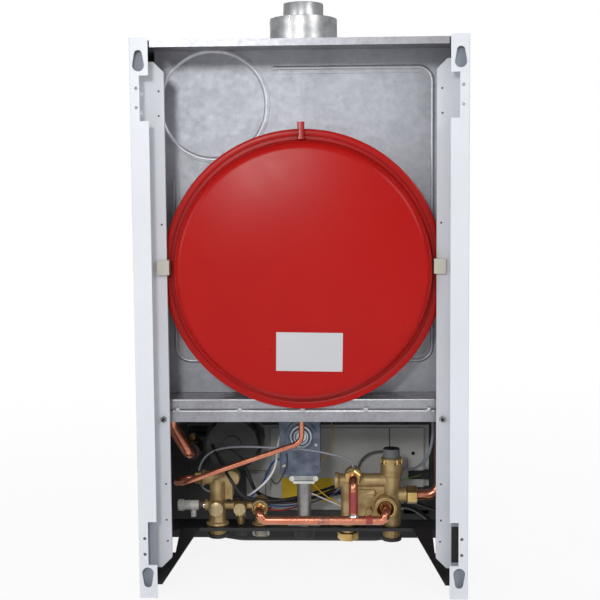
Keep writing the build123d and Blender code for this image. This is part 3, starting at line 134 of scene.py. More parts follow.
class Look(Tree):
    """A material with one shader, and noise and marks in object space."""

    def __init__(self, name):
        self.material = bpy.data.materials.new(name)
        self.material.use_nodes = True
        super().__init__(self.material.node_tree)
        self.shader = self.tree.nodes["Principled BSDF"]
        self.place = self.node("ShaderNodeTexCoord").outputs["Object"]

    def set(self, **values):
        """Set sockets of the shader, with underscores for spaces."""
        for key, value in values.items():
            self.shader.inputs[key.replace("_", " ")].default_value = value
        return self

    def stretched(self, stretch):
        """Object space scaled along each axis."""
        mapping = self.node("ShaderNodeMapping", Scale=stretch)
        self.link(self.place, mapping.inputs["Vector"])
        return mapping.outputs["Vector"]

    def noise(self, scale, detail=3.0, stretch=(1, 1, 1), roughness=0.5):
        """Noise from 0 to 1 in object space, with its scale in cells per metre."""
        made = self.node("ShaderNodeTexNoise", Scale=scale, Detail=detail, Roughness=roughness)
        self.link(self.stretched(stretch), made.inputs["Vector"])
        return made.outputs["Fac"]

    def cells(self, scale, stretch=(1, 1, 1)):
        """Random grey value of each Voronoi cell."""
        made = self.node("ShaderNodeTexVoronoi", Scale=scale)
        self.link(self.stretched(stretch), made.inputs["Vector"])
        split = self.node("ShaderNodeSeparateColor")
        self.link(made.outputs["Color"], split.inputs["Color"])
        return split.outputs["Red"]

    def ramp(self, fac, stops):
        """Colour ramp over a value, from (place, colour) pairs."""
        made = self.node("ShaderNodeValToRGB")
        while len(made.color_ramp.elements) < len(stops):
            made.color_ramp.elements.new(0.5)
        for element, (place, tint) in zip(made.color_ramp.elements, stops):
            element.position = place
            element.color = tint
        self.link(fac, made.inputs["Fac"])
        return made.outputs["Color"]

    def span(self, fac, low, high):
        """A value of 0 to 1 spread between two others."""
        made = self.node("ShaderNodeMapRange", **{"To Min": low, "To Max": high})
        self.link(fac, made.inputs["Value"])
        return made.outputs["Result"]

    def mix(self, fac, first, second):
        """Mix of two colours by a value."""
        made = self.node("ShaderNodeMix", data_type="RGBA")
        for target, source in ((made.inputs[0], fac), (made.inputs[6], first), (made.inputs[7], second)):
            if hasattr(source, "node"):
                self.link(source, target)
            else:
                target.default_value = source
        return made.outputs[2]

    def tint(self, output):
        self.link(output, self.shader.inputs["Base Color"])
        return self

    def rough(self, output):
        self.link(output, self.shader.inputs["Roughness"])
        return self

    def bump(self, height, strength, distance):
        """Bump over whatever bump is there already."""
        made = self.node("ShaderNodeBump", Strength=strength, Distance=distance)
        self.link(height, made.inputs["Height"])
        normal = self.shader.inputs["Normal"]
        if normal.is_linked:
            self.link(normal.links[0].from_socket, made.inputs["Normal"])
        self.link(made.outputs["Normal"], normal)
        return self


def enamel(name, base, rough=0.35, peel=0.02, coat=0.0, spread=0.03, gloss=0.5):
    """Sprayed or powder coated sheet with a faint orange peel."""
    look, base = Look(name), colour(*base)
    cloud = look.noise(6.0, 2.0)
    look.tint(look.ramp(cloud, [(0.3, shade(base, 1 - spread)), (0.7, shade(base, 1 + spread))]))
    look.rough(look.span(look.noise(35.0), rough - 0.05, rough + 0.05))
    look.bump(look.noise(420.0, 1.0), peel, 0.0006)
    look.bump(look.noise(9.0, 1.0), 0.12, 0.0012)
    return look.set(Coat_Weight=coat, Coat_Roughness=0.04, Specular_IOR_Level=gloss).material


def galvanised(name, dark, light, rough=0.42, grain=55.0):
    """Zinc coated sheet with spangle, dull patches and fine scratches."""
    look, dark, light = Look(name), colour(*dark), colour(*light)
    spangle = look.cells(grain)
    cloud = look.noise(9.0, 5.0, roughness=0.62)
    mottle = look.noise(grain * 0.7, 4.0, roughness=0.6)
    metal = look.ramp(cloud, [(0.3, dark), (0.7, light)])
    metal = look.mix(look.span(mottle, 0.0, 0.7), metal, shade(dark, 0.9))
    metal = look.mix(look.span(spangle, 0.0, 0.22), metal, shade(light, 1.08))
    look.tint(metal)
    look.rough(look.span(mottle, rough - 0.06, rough + 0.1))
    look.bump(look.noise(900.0, 2.0), 0.05, 0.0003)
    look.bump(look.noise(5.0, 1.0), 0.25, 0.002)
    return look.set(Metallic=0.55).material


def cast_metal(name, dark, light, rough=0.42, grain=900.0, metallic=0.85, pits=0.25):
    """Shot-blasted casting with a fine pitted skin and random darker patches."""
    look, dark, light = Look(name), colour(*dark), colour(*light)
    cloud = look.noise(60.0, 4.0)
    skin = look.ramp(cloud, [(0.3, dark), (0.65, light)])
    speck = look.noise(grain, 2.0)
    look.tint(look.mix(look.span(speck, 0.0, 0.3), skin, shade(light, 1.1)))
    look.rough(look.span(cloud, rough + 0.1, rough - 0.08))
    look.bump(speck, pits, 0.0004)
    return look.set(Metallic=metallic).material


def drawn_metal(name, dark, light, rough=0.22, metallic=1.0, stain=0.5, patch=45.0, marks=0.06):
    """Drawn or machined metal with soft stains and fine marks."""
    look, dark, light = Look(name), colour(*dark), colour(*light)
    cloud = look.noise(patch, 5.0, roughness=0.6)
    look.tint(look.ramp(cloud, [(0.5 - stain / 2, dark), (0.5 + stain / 4, light)]))
    look.rough(look.span(look.noise(60.0, 3.0), rough - 0.05, rough + 0.08))
    look.bump(look.noise(500.0, 2.0), marks, 0.0002)
    return look.set(Metallic=metallic).material


def moulded(name, base, rough=0.5, grain=0.08, spread=0.06):
    """Moulded plastic with a fine grain."""
    look, base = Look(name), colour(*base)
    cloud = look.noise(18.0, 3.0)
    look.tint(look.ramp(cloud, [(0.3, shade(base, 1 - spread)), (0.7, shade(base, 1 + spread))]))
    look.rough(look.span(look.noise(120.0), rough - 0.06, rough + 0.06))
    look.bump(look.noise(1400.0, 1.0), grain, 0.0003)
    return look.material


def clear(name, base, rough=0.08, transmission=0.9):
    """Clear plastic or glass with a slight haze."""
    look, base = Look(name), colour(*base)
    look.tint(look.ramp(look.noise(60.0), [(0.3, shade(base, 0.97)), (0.7, base)]))
    look.rough(look.span(look.noise(90.0), rough, rough + 0.05))
    look.set(Transmission_Weight=transmission, IOR=1.46)
    return look.material


def fibre(name, base):
    """Ceramic fibre board with a felted surface."""
    look, base = Look(name), colour(*base)
    strands = look.noise(700.0, 3.0, stretch=(1, 0.2, 1))
    look.tint(look.ramp(strands, [(0.3, shade(base, 0.85)), (0.7, base)]))
    look.bump(strands, 0.4, 0.0006)
    return look.set(Roughness=0.95).material


def laminate(name):
    """Green circuit laminate with pale tracks."""
    look = Look(name)
    tracks = look.cells(220.0, stretch=(1, 1, 0.25))
    look.tint(look.ramp(tracks, [(0.0, colour(14, 70, 38)), (0.78, colour(20, 92, 52)), (0.86, colour(120, 150, 96))]))
    look.bump(tracks, 0.2, 0.0003)
    return look.set(Roughness=0.4).material


def turned_face(name, dark, light, centre):
    """Machined face with fine spokes of light round its middle, given in millimetres."""
    look, dark, light = Look(name), colour(*dark), colour(*light)
    offset = look.node("ShaderNodeVectorMath", operation="SUBTRACT")
    offset.inputs[1].default_value = [part * mm for part in centre]
    look.link(look.place, offset.inputs[0])
    split = look.node("ShaderNodeSeparateXYZ")
    look.link(offset.outputs[0], split.inputs[0])
    angle = look.node("ShaderNodeMath", operation="ARCTAN2")
    look.link(split.outputs["X"], angle.inputs[0])
    look.link(split.outputs["Z"], angle.inputs[1])
    marks = look.node("ShaderNodeTexNoise", noise_dimensions="1D", Scale=12.0, Detail=2.0)
    look.link(angle.outputs[0], marks.inputs["W"])
    look.tint(look.ramp(marks.outputs["Fac"], [(0.38, dark), (0.62, light)]))
    look.rough(look.span(marks.outputs["Fac"], 0.22, 0.5))
    return look.set(Metallic=0.9).material


white_paint = enamel("white_enamel", (232, 235, 240), 0.38)
# Darker copy of the white enamel for the inner uprights: painted shade inside the case.
shaded_white_paint = enamel("white_enamel_painted_shade", (222, 225, 230), 0.42)
red_paint = enamel("red_enamel", (180, 14, 8), 0.3, peel=0.015, spread=0.05, gloss=0.2)
red_metal = enamel("red_valve_paint", (178, 26, 24), 0.24, coat=0.5)
black_steel = enamel("black_powder_coat", (34, 35, 38), 0.42, peel=0.06, spread=0.12)
sheet_metal = galvanised("galvanised_sheet", (158, 160, 167), (194, 196, 203), 0.44, 150.0)
bar_metal = galvanised("galvanised_bar", (136, 136, 142), (186, 187, 192), 0.34, 260.0)
stack_metal = galvanised("aluminised_sheet", (150, 152, 156), (190, 192, 194), 0.46, 200.0)
zinc = drawn_metal("zinc_plated", (168, 168, 160), (214, 214, 208), 0.28)
duct_metal = drawn_metal("duct_aluminium", (172, 172, 172), (206, 206, 206), 0.36, stain=0.3)
steel = drawn_metal("plain_steel", (112, 114, 118), (160, 162, 165), 0.34)
brass_casting = cast_metal("cast_brass", (150, 124, 80), (196, 170, 122), 0.46, metallic=0.6)
bright_brass = drawn_metal("machined_brass", (150, 118, 62), (212, 180, 116), 0.24)
pump_casting = cast_metal("pump_casting", (26, 26, 28), (44, 44, 46), 0.5, metallic=0.2)
copper = drawn_metal("copper_tube", (186, 108, 84), (214, 142, 114), 0.24, 0.92, patch=30.0, marks=0.004)
lacquer = enamel("red_lacquer", (168, 62, 54), 0.24, coat=0.3, spread=0.3)
heat_stain = drawn_metal("heat_stain", (126, 92, 78), (196, 132, 112), 0.3, 0.8, patch=160.0)
# Grey-blue for white faces inside the case: painted shade.
inner_face_shade = enamel("inner_face_painted_shade", (150, 156, 166), 0.5)
# Bright zinc for the cock ring and the braze, also painted highlight strips on the crossbar.
bright_zinc_and_highlight = drawn_metal("bright_zinc_and_highlight", (196, 198, 202), (232, 233, 236), 0.2)
fins_copper = drawn_metal("copper_block", (150, 86, 62), (198, 128, 96), 0.34)
valve_alloy = cast_metal("grey_alloy", (66, 74, 88), (108, 118, 134), 0.42, 1200.0, 0.6)
valve_cover = cast_metal("pressed_cover", (150, 158, 168), (204, 209, 216), 0.3, 700.0, 0.9, 0.08)
satin = cast_metal("satin_aluminium", (136, 136, 135), (178, 178, 176), 0.42, 1500.0, 0.8, 0.2)
faced_brass = turned_face("faced_brass", (96, 74, 42), (232, 212, 166), (132.5, -124, -648))
faced_tap = turned_face("faced_tap", (96, 74, 42), (232, 212, 166), (97.5, -124, -648))
dial_mark = moulded("dial_mark", (40, 42, 46), 0.5, 0.01)
scale_mark = moulded("scale_mark", (190, 192, 194), 0.5, 0.01)
cap_pale = moulded("cock_plastic", (190, 190, 184), 0.4)
brown_stub = moulded("brown_stub", (92, 74, 60), 0.5)
# Lighter copy of the galvanised sheet: painted highlight on the pressed ridges and the darts.
ridge_highlight_metal = galvanised("pressed_ridge_highlight", (176, 178, 185), (214, 216, 222), 0.36, 150.0)
dark_fold = galvanised("fold_shadow", (84, 82, 84), (104, 102, 104), 0.5, 200.0)
bright_seam = drawn_metal("bright_seam", (196, 196, 196), (226, 226, 226), 0.25)
grey_plastic = moulded("grey_plastic", (196, 197, 194))
cap_grey = moulded("cap_grey", (118, 120, 122), 0.4)
yellow_film = moulded("yellow_film", (226, 190, 24), 0.5, 0.02)
white_film = moulded("white_film", (206, 206, 209), 0.45, 0.01, 0.01)
# Near black for the stud and the flow cap top, and painted shade in a slot, a groove, a hole and a window.
gap_shade_and_dark_parts = moulded("gap_shade_and_dark_parts", (22, 22, 23), 0.7)
hole_shade = moulded("hole_shadow", (96, 98, 104), 0.7)
clip_plastic = moulded("nylon_clip", (206, 203, 188), 0.42)
knob_plastic = moulded("pale_knob", (206, 206, 202), 0.4)
black_plastic = moulded("black_plastic", (30, 30, 31), 0.5, 0.15)
cap_plastic = moulded("cap_plastic", (38, 38, 39), 0.55)
dark_knob = moulded("dark_knob", (52, 53, 55), 0.45)
red_knob = moulded("red_knob", (168, 30, 26), 0.42)
rubber = moulded("rubber", (44, 44, 44), 0.7)
ceramic = moulded("ceramic", (236, 234, 226), 0.2, 0.02)
clear_plastic = clear("clear_plastic", (226, 232, 232))
glass = clear("heat_glass", (224, 232, 234), 0.03)
lining = fibre("fibre_board", (226, 220, 204))
board = laminate("circuit_laminate")
dial_white = moulded("dial_can", (226, 228, 228), 0.3, 0.02)
needle_red = moulded("needle", (190, 34, 26), 0.3, 0.02)

finishes = {
    white_paint: ["side_panel_right", "side_panel_left", "front_cover"],
    shaded_white_paint: ["inner_upright_right", "inner_upright_left"],
    sheet_metal: ["chamber_back_plate", "chamber_shell", "chamber_cover"],
    bar_metal: ["crossbar", "top_frame"],
    stack_metal: ["flue_hood", "fan_housing", "fan_wheel", "combustion_casing"],
    black_steel: ["support_tray"],
    steel: ["burner", "pump_impeller", "case_screws"],
    zinc: ["gas_manifold", "gas_inlet_pipe"],
    duct_metal: ["flue_outer_collar", "flue_inner_collar"],
    red_paint: ["vessel_rear_shell", "vessel_front_shell"],
    red_metal: ["vessel_air_valve"],
    rubber: ["vessel_diaphragm"],
    clip_plastic: ["vessel_clips"],
    copper: ["vessel_pipe", "flow_pipe", "return_pipe", "bypass_pipe"],
    fins_copper: ["heat_exchanger"],
    ceramic: ["electrodes"],
    lining: ["combustion_lining"],
    glass: ["sight_glass"],
    valve_alloy: ["gas_valve"],
    brass_casting: ["return_group", "flow_group"],
    bright_brass: ["brass_nuts", "valve_spindle"],
    pump_casting: ["pump_body"],
    cap_grey: ["valve_cap"],
    grey_plastic: ["control_box_back", "air_pressure_switch"],
    knob_plastic: ["drain_cock", "drain_knob"],
    dark_knob: ["filling_knob", "heating_knob", "water_knob"],
    red_knob: ["safety_knob", "reset_button"],
    black_plastic: ["control_box", "pump_motor", "fan_motor"],
    cap_plastic: ["connection_caps"],
    board: ["circuit_board"],
    dial_white: ["pressure_gauge"],
    needle_red: ["gauge_needle"],
}


def finish_nodes():
    """Give every node of the frame its material."""
    for look, names in finishes.items():
        for name in names:
            target = nodes[name]
            target.data.materials.clear()
            target.data.materials.append(look)


def smooth_by_angle(piece, angle=35.0):
    """Smooth shading with creases kept sharp."""
    for face in piece.data.polygons:
        face.use_smooth = True
    piece.data.set_sharp_from_angle(angle=radians(angle))


@contextmanager
def edited(data):
    """A mesh opened for editing and written back."""
    bm = bmesh.new()
    bm.from_mesh(data)
    yield bm
    bm.to_mesh(data)
    bm.free()


def add_piece(name, points, faces, look, node=None, angle=35.0):
    """Mesh piece from points in millimetres that rides with a node of the frame."""
    data = bpy.data.meshes.new(name)
    data.from_pydata([[part * mm for part in point] for point in points], [], faces)
    data.validate()
    with edited(data) as bm:
        bmesh.ops.recalc_face_normals(bm, faces=bm.faces)
    data.materials.append(look)
    piece = bpy.data.objects.new(name, data)
    scene.collection.objects.link(piece)
    smooth_by_angle(piece, angle)
    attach(piece, body_of(nodes[node])[0] if node else "root")
    return piece


def lathe(name, outline, centre, look, node=None, axis="y", sides=160):
    """Turned piece from (radius, distance along the axis) points, in millimetres."""
    points, faces = [], []
    for step in range(sides):
        turn = 2 * pi * step / sides
        for radius, along in outline:
            across, up = radius * cos(turn), radius * sin(turn)
            offset = {"x": (along, across, up), "y": (across, along, up), "z": (across, up, along)}[axis]
            points.append([base + part for base, part in zip(centre, offset)])
    count = len(outline)
    for step in range(sides):
        here, there = step * count, (step + 1) % sides * count
        for row in range(count - 1):
            faces.append((here + row, here + row + 1, there + row + 1, there + row))
    piece = add_piece(name, points, faces, look, node)
    with edited(piece.data) as bm:
        bmesh.ops.remove_doubles(bm, verts=bm.verts, dist=0.01 * mm)
        bmesh.ops.recalc_face_normals(bm, faces=bm.faces)
    smooth_by_angle(piece)
    return piece


def rounded_route(points, radii, steps=10):
    """Straight runs of a pipe joined by tangent arcs, as close points."""
    route = [Vector(points[0])]
    for index in range(1, len(points) - 1):
        corner = Vector(points[index])
        back = (Vector(points[index - 1]) - corner).normalized()
        ahead = (Vector(points[index + 1]) - corner).normalized()
        half = back.angle(ahead) / 2
        radius = radii[index - 1] if isinstance(radii, (list, tuple)) else radii
        reach = radius / tan(half)
        middle = corner + (back + ahead).normalized() * (radius / sin(half))
        first = corner + back * reach - middle
        last = corner + ahead * reach - middle
        sweep = first.angle(last)
        for step in range(steps + 1):
            share = step / steps
            spoke = (first * sin((1 - share) * sweep) + last * sin(share * sweep)) / sin(sweep)
            route.append(middle + spoke)
    route.append(Vector(points[-1]))
    return route


def pipe(name, points, radii, radius, look, node=None, sides=32):
    """Round metal pipe along straight runs and arcs, with closed ends."""
    route = rounded_route(points, radii)
    side = (route[1] - route[0]).orthogonal().normalized()
    rings = []
    for index, place in enumerate(route):
        ahead = route[min(index + 1, len(route) - 1)] - route[max(index - 1, 0)]
        ahead.normalize()
        side = (side - ahead * side.dot(ahead)).normalized()
        up = ahead.cross(side)
        rings.append((place, side, up))
    vertices, faces = [], []
    for place, side, up in rings:
        for step in range(sides):
            turn = 2 * pi * step / sides
            vertices.append(place + side * (radius * cos(turn)) + up * (radius * sin(turn)))
    for ring in range(len(rings) - 1):
        for step in range(sides):
            nxt = (step + 1) % sides
            low, high = ring * sides, (ring + 1) * sides
            faces.append((low + step, low + nxt, high + nxt, high + step))
    last = (len(rings) - 1) * sides
    faces += [tuple(range(sides - 1, -1, -1)), tuple(range(last, last + sides))]
    return add_piece(name, vertices, faces, look, node)


def cable(name, points, radius, look, node=None):
    """Round cable on one smooth spline, in millimetres."""
    curve = bpy.data.curves.new(name, "CURVE")
    curve.dimensions = "3D"
    curve.bevel_depth = radius * mm
    curve.bevel_resolution = 4
    curve.resolution_u = 10
    spline = curve.splines.new("NURBS")
    spline.points.add(len(points) - 1)
    for target, place in zip(spline.points, points):
        target.co = (*[part * mm for part in place], 1.0)
    spline.order_u = 4
    spline.use_endpoint_u = True
    curve.use_fill_caps = True
    curve.materials.append(look)
    piece = bpy.data.objects.new(name, curve)
    scene.collection.objects.link(piece)
    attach(piece, body_of(nodes[node])[0] if node else "root")
    return piece


def crown_depth(radius):
    """Place in Y of the shallow crown of the vessel at a distance from its middle."""
    return -7.0 - 6.0 * (min(radius, crown_radius) / crown_radius) ** 2.6


def vessel():
    """Glossy red shells of the expansion vessel with their crimped edge."""
    crown = [(radius, crown_depth(radius)) for radius in [crown_radius * step / 14 for step in range(15)]]
    shoulder = []
    bend = 13.0
    for step in range(1, 11):
        turn = radians(9 * step)
        shoulder.append((crown_radius + bend * sin(turn), -13.0 - bend * (1 - cos(turn))))
    side = [(177.0, -30.0), (177.6, -40.0), (178.6, -43.0), (191.0, -43.2)]
    rear = lathe("vessel_rear", crown + shoulder + side, vessel_centre, red_paint)
    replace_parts(rear, "vessel_rear_shell")
    edge = [(183.0, -43.4), (183.2, -41.4), (184.6, -41.0), (190.4, -41.0), (192.2, -41.7), (192.8, -43.4)]
    edge += [(192.8, -45.4), (192.0, -46.7), (190.4, -47.0), (180.0, -47.2), (177.4, -49.0), (176.4, -60.0)]
    edge += [
        (175.4, -68.0), (170.0, -78.0), (160.0, -88.5), (150.0, -95.5), (138.0, -98.6), (120.0, -99.0), (0.0, -99.0),
    ]
    front = lathe("vessel_front", edge, vessel_centre, red_paint)
    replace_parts(front, "vessel_front_shell")


def turn_mesh(outline, start, direction, sides=72):
    """Closed turned shape, or a ring where its outline starts off the axis, in millimetres."""
    ahead = Vector(direction).normalized()
    side = ahead.orthogonal().normalized()
    up = ahead.cross(side)
    points, faces = [], []
    for radius, along in outline:
        for step in range(sides):
            turn = 2 * pi * step / sides
            spoke = side * cos(turn) + up * sin(turn)
            points.append(Vector(start) + ahead * along + spoke * max(radius, 0.001))
    for row in range(len(outline) - 1):
        for step in range(sides):
            nxt = (step + 1) % sides
            low, high = row * sides, (row + 1) * sides
            faces.append((low + step, low + nxt, high + nxt, high + step))
    last = (len(outline) - 1) * sides
    if outline[0][0] > 0:
        for step in range(sides):
            nxt = (step + 1) % sides
            faces.append((last + step, last + nxt, nxt, step))
    else:
        faces.append(tuple(range(sides - 1, -1, -1)))
        faces.append(tuple(range(last, last + sides)))
    return points, faces


def turned(name, outline, start, direction, look, node=None, sides=72):
    """Turned piece along any direction."""
    return add_piece(name, *turn_mesh(outline, start, direction, sides), look, node)


def solid(*outline):
    """Outline closed onto the axis at both ends."""
    return [(0, 0), *outline, (0, outline[-1][1])]


def bevelled(length, radius, edge=0.6):
    """Outline of a plain round bar with softened ends."""
    return solid((radius - edge, 0), (radius, edge), (radius, length - edge), (radius - edge, length))


def boxed(name, low, high, look, node=None, edge=0.0):
    """Rectangular piece between two corners, with bevelled edges where asked."""
    points = [(x, y, z) for x in (low[0], high[0]) for y in (low[1], high[1]) for z in (low[2], high[2])]
    faces = [(0, 1, 3, 2), (4, 6, 7, 5), (0, 4, 5, 1), (2, 3, 7, 6), (0, 2, 6, 4), (1, 5, 7, 3)]
    piece = add_piece(name, points, faces, look, node)
    if edge:
        with edited(piece.data) as bm:
            bmesh.ops.bevel(bm, geom=bm.edges[:], offset=edge * mm, segments=2, affect="EDGES")
    return piece


def nut(name, flats, start, direction, length, look, node=None, roll=0.0):
    """Hexagon nut with chamfered corners."""
    corner = flats / 2 / cos(pi / 6)
    outline = solid((flats / 2 - 0.6, 0), (corner, 1.2), (corner, length - 1.2), (flats / 2 - 0.6, length))
    points, faces = turn_mesh(outline, start, direction, 6)
    if roll:
        turn = Matrix.Rotation(radians(roll), 3, Vector(direction))
        points = [Vector(start) + turn @ (place - Vector(start)) for place in points]
    return add_piece(name, points, faces, look, node, 20.0)


def casting(name, node, look, shapes, boxes=(), voxel=0.6, passes=5):
    """Casting of a node with true rounds and lobes added and its corners rounded."""
    data = nodes[node].data.copy()
    with edited(data) as bm:
        for outline, start, direction in shapes:
            points, faces = turn_mesh(outline, start, direction, 64)
            made = [bm.verts.new(place * mm) for place in points]
            for face in faces:
                bm.faces.new([made[index] for index in face])
        for low, high in boxes:
            middle = [(a + b) / 2 * mm for a, b in zip(low, high)]
            size = [(b - a) * mm for a, b in zip(low, high)]
            place = Matrix.Translation(middle) @ Matrix.Diagonal((*size, 1.0))
            bmesh.ops.create_cube(bm, size=1.0, matrix=place)
        bmesh.ops.recalc_face_normals(bm, faces=bm.faces)
    piece = bpy.data.objects.new(name, data)
    scene.collection.objects.link(piece)
    remesh = piece.modifiers.new("remesh", "REMESH")
    remesh.mode = "VOXEL"
    remesh.voxel_size = voxel * mm
    relax = piece.modifiers.new("relax", "SMOOTH")
    relax.factor = 0.5
    relax.iterations = passes
    made = bpy.data.meshes.new_from_object(piece.evaluated_get(bpy.context.evaluated_depsgraph_get()))
    piece.modifiers.clear()
    piece.data = made
    made.name = name
    made.materials.clear()
    made.materials.append(look)
    for face in made.polygons:
        face.use_smooth = True
    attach(piece, body_of(nodes[node])[0])
    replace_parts(piece, node)
    return piece


def thread(name, radius, x, foot, top, look):
    """Cut thread under the tray."""
    outline = [(radius - 2.2, 0), (radius - 1.4, 0.4)]
    along = 0.6
    while along < top - foot - 0.8:
        outline += [(radius - 0.9, along), (radius, along + 0.7), (radius - 0.1, along + 0.9)]
        along += 1.5
    outline += [(radius - 0.6, top - foot), (radius - 2.2, top - foot)]
    return turned(name, outline, (x, -port_depth, foot), (0, 0, 1), look)


def castings():
    """Brass groups with their machined faces, threads, nuts and transport caps."""
    y = -port_depth
    back, up = (0, 1, 0), (0, 0, 1)
    x, cold, hot, flow = ports["return"], ports["cold"], ports["hot"], ports["flow"]
    shapes = [
        (
            solid((17, 0), (17, 2.4), (15, 4.4), (12.6, 6.4), (12.2, 18), (11.5, 22), (11.5, 70)), (x, y, group_foot),
            up,
        ),
        (solid((10, 0), (10, 40), (11.4, 40.6), (11.4, 44)), (x - 22, y, -606), (1, 0, 0)),
        ([(0, 0), (11, 0), (12, 2), (12, 17), (10.4, 20.4), (7, 21.8), (0, 22)], (x - 22, y - 12, -605), back),
        (solid((9, 0), (9, 17), (11, 18.4), (11, 24.6), (10.2, 25.6)), (x, y, -648), back),
        (solid((8, 0), (8, 17), (9.5, 18.4), (9.5, 24.6), (8.8, 25.6)), (97.5, y, -648), back),
        (bevelled(66, 6.4), (72, y, -648), (1, 0, 0)),
        (solid((7.6, 0), (7.6, 2), (8.4, 2), (8.4, 6)), (x + 13, y, -648), (1, 0, 0)),
        (solid((8, 0), (7.4, 8), (4.6, 16), (3.8, 26)), (97.5, y + 4, -650), (0, 0, -1)),
        (bevelled(26, 12, 1.5), (cold, y - 8, -646), back),
        (solid((13.6, 0), (13.6, 2.4), (9.6, 4), (9, 7), (9, 26)), (cold, y, group_foot), up),
    ]
    boxes = [((109.5, -159, -638), (120.5, -140, -606)), ((90, -147, -664), (105, -144, -650))]
    casting("return_casting", "return_group", brass_casting, shapes, boxes)
    turned("return_face", [
        (0, -2), (10.6, -2), (10.6, -0.5), (9.8, 0), (0, 0),
    ], (x, y + 26.5, -648), back, faced_brass)
    turned("tap_face", [(0, -2), (9.1, -2), (9.1, -0.5), (8.4, 0), (0, 0)], (97.5, y + 26.5, -648), back, faced_tap)
    # Dark box of painted shade in the slot of the boss.
    boxed("boss_slot_shade", (111.5, -140.4, -640.5), (118.5, -139.6, -636), gap_shade_and_dark_parts)
    nut("tee_collar", 21, (x + 17.5, y, -606), (1, 0, 0), 5, brass_casting)
    shapes = [
        (solid((13, 0), (13.4, 4), (13.4, 30)), (flow, y, -632), up),
        (
            solid(
                (14, 0), (14.6, 1), (16.5, 3.4), (16.5, 14), (15.2, 15.4), (15.2, 18), (16, 18.6), (16, 24.5),
                (15, 26), (12.6, 26.4),
            ),
            (flow, y, -601.5), up,
        ),
        (solid((12.2, 0), (13.4, 3), (14.2, 8), (14, 44)), (flow, y, group_foot), up),
        (bevelled(84, 10.5, 1.0), (flow, y, -610), (1, 0, 0)),
        (solid((12.4, 0), (12.4, 5.4), (10.5, 7.4)), (-43, y, -610), (-1, 0, 0)),
        (solid((12.5, 0), (12.9, 2), (12.9, 20), (12, 22)), (branch_x, y, -600), back),
        (solid((13.4, 0), (13.4, 3.4), (11, 5), (10.4, 9), (10.4, 66)), (hot, y, group_foot), up),
        (solid((13, 0), (10.6, 10), (10.6, 20), (11.4, 21), (11.4, 22)), (flow, y, -631.6), (-1, 0, 0)),
        ([
            (0, 0), (14, 0), (15, 16), (17, 24), (17, 28), (16, 29), (12.9, 29.2), (12.4, 22), (0, 21),
        ], (-118, y, -645.6), back),
        (bevelled(13, 5, 2), (-94, y, -654.6), back),
        (bevelled(11, 4.5, 2), (-88, y, -630), back),
        (bevelled(10, 3.5, 1.6), (-90, y + 2, -662), back),
        (bevelled(14, 4, 1.6), (-104, y + 8, -627), (1, 0, -0.1)),
    ]
    boxes = [((-128, -157, -668), (-62, -143, -612)), ((-102, -146, -634), (-78, -139, -622))]
    casting("flow_casting", "flow_group", brass_casting, shapes, boxes)
    eye = [
        (6.6, 0), (8.4, 1.6), (11.4, 5.6), (12.8, 8.4), (13.8, 8.8), (13.4, 9.4), (12.2, 9.4), (10.6, 6.2), (6.6, 0.4),
    ]
    turned("polished_eye", eye, (-118, -129.4, -645.6), back, bright_brass, sides=96)
    for step in range(10):
        turn = 2 * pi * step / 10 + 0.2
        px, py = flow + 15.4 * cos(turn), y + 15.4 * sin(turn)
        boxed(
            f"ring_tooth_{step}", (px - 1.9, py - 1.4, -584), (px + 1.9, py + 1.4, -576.6),
            bright_brass if step % 2 else brass_casting, edge=0.5,
        )
    turned("ring_band", [(14.4, 0), (16.2, 0.3), (16.3, 2.6), (14.4, 3)], (flow, y, -583.6), up, bright_brass)
    ridges = [(0, 0), (11.6, 0)]
    for step in range(5):
        ridges += [(12.5, 1.1 + 2 * step), (12.5, 2.2 + 2 * step), (12.1, 2.6 + 2 * step)]
    turned("cap_side", ridges + [(12.4, 11.8), (11.8, 12.7), (10, 13.2), (0, 13.2)], (flow, y, -574.7), up, cap_grey)
    turned("cap_top", [(10, -0.4), (11.9, -0.3), (11.4, 0.6), (0, 0.8)], (flow, y, -561.9), up, gap_shade_and_dark_parts)
    wire = [
        (-121, -117.5, -640), (-125.5, -117.2, -646), (-123, -117, -655), (-120.6, -117, -664), (-118.4, -117, -664),
        (-116, -117, -655), (-112, -117.2, -646), (-116, -117.5, -640),
    ]
    cable("eye_clip", wire, 0.8, zinc)
    for label, px, drop in (("return", x, 0), ("gas", ports["gas"], 0), ("flow", flow, 4.1)):
        foot = thread_foot - drop
        thread(label + "_thread", main_thread, px, foot, thread_top, zinc if label == "gas" else bright_brass)
        tall = 14.0 if label == "gas" else 5.5
        rim = [(0, 0), (14.2, 0), (14.9, 0.8), (14.9, tall - 0.3), (14.3, tall), (13.6, tall), (13.6, 1.6), (0, 1.5)]
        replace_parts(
            turned(label + "_cap", rim, (px, y, foot - 1.5), up, cap_plastic, "connection_caps"), "connection_caps",
        )
    thread("cold_thread", 10.55, cold, -691.4, thread_top, bright_brass)
    rim = [(0, 0), (12.4, 0), (13.3, 1.2), (13.3, 11.6), (12.8, 12), (11.2, 12), (11.2, 2), (0, 1.6)]
    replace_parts(turned("clear_cap", rim, (cold, y, -692.9), up, clear_plastic, "connection_caps"), "connection_caps")
    nuts = [
        ("vessel_nut", 17, (3, -80, -464.3), (0, 0, -1), 12, 0),
        ("tee_nut", 17, (154.8, y, -606), (1, 0, 0), 11, 12),
        ("side_nut", 24, (-149.8, y, -631.6), (-1, 0, 0), 16.2, 20),
        ("boss_nut", 22, (branch_x, -127.7, -600), back, 9, 8),
        ("cold_nut", 18, (cold, -123.7, -646), back, 8, 15),
        ("outlet_nut", 27, (hot, y, -699.9), up, 12.5, 5),
    ]
    for label, flats, start, direction, length, roll in nuts:
        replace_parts(nut(label, flats, start, direction, length, bright_brass, "brass_nuts", roll), "brass_nuts")


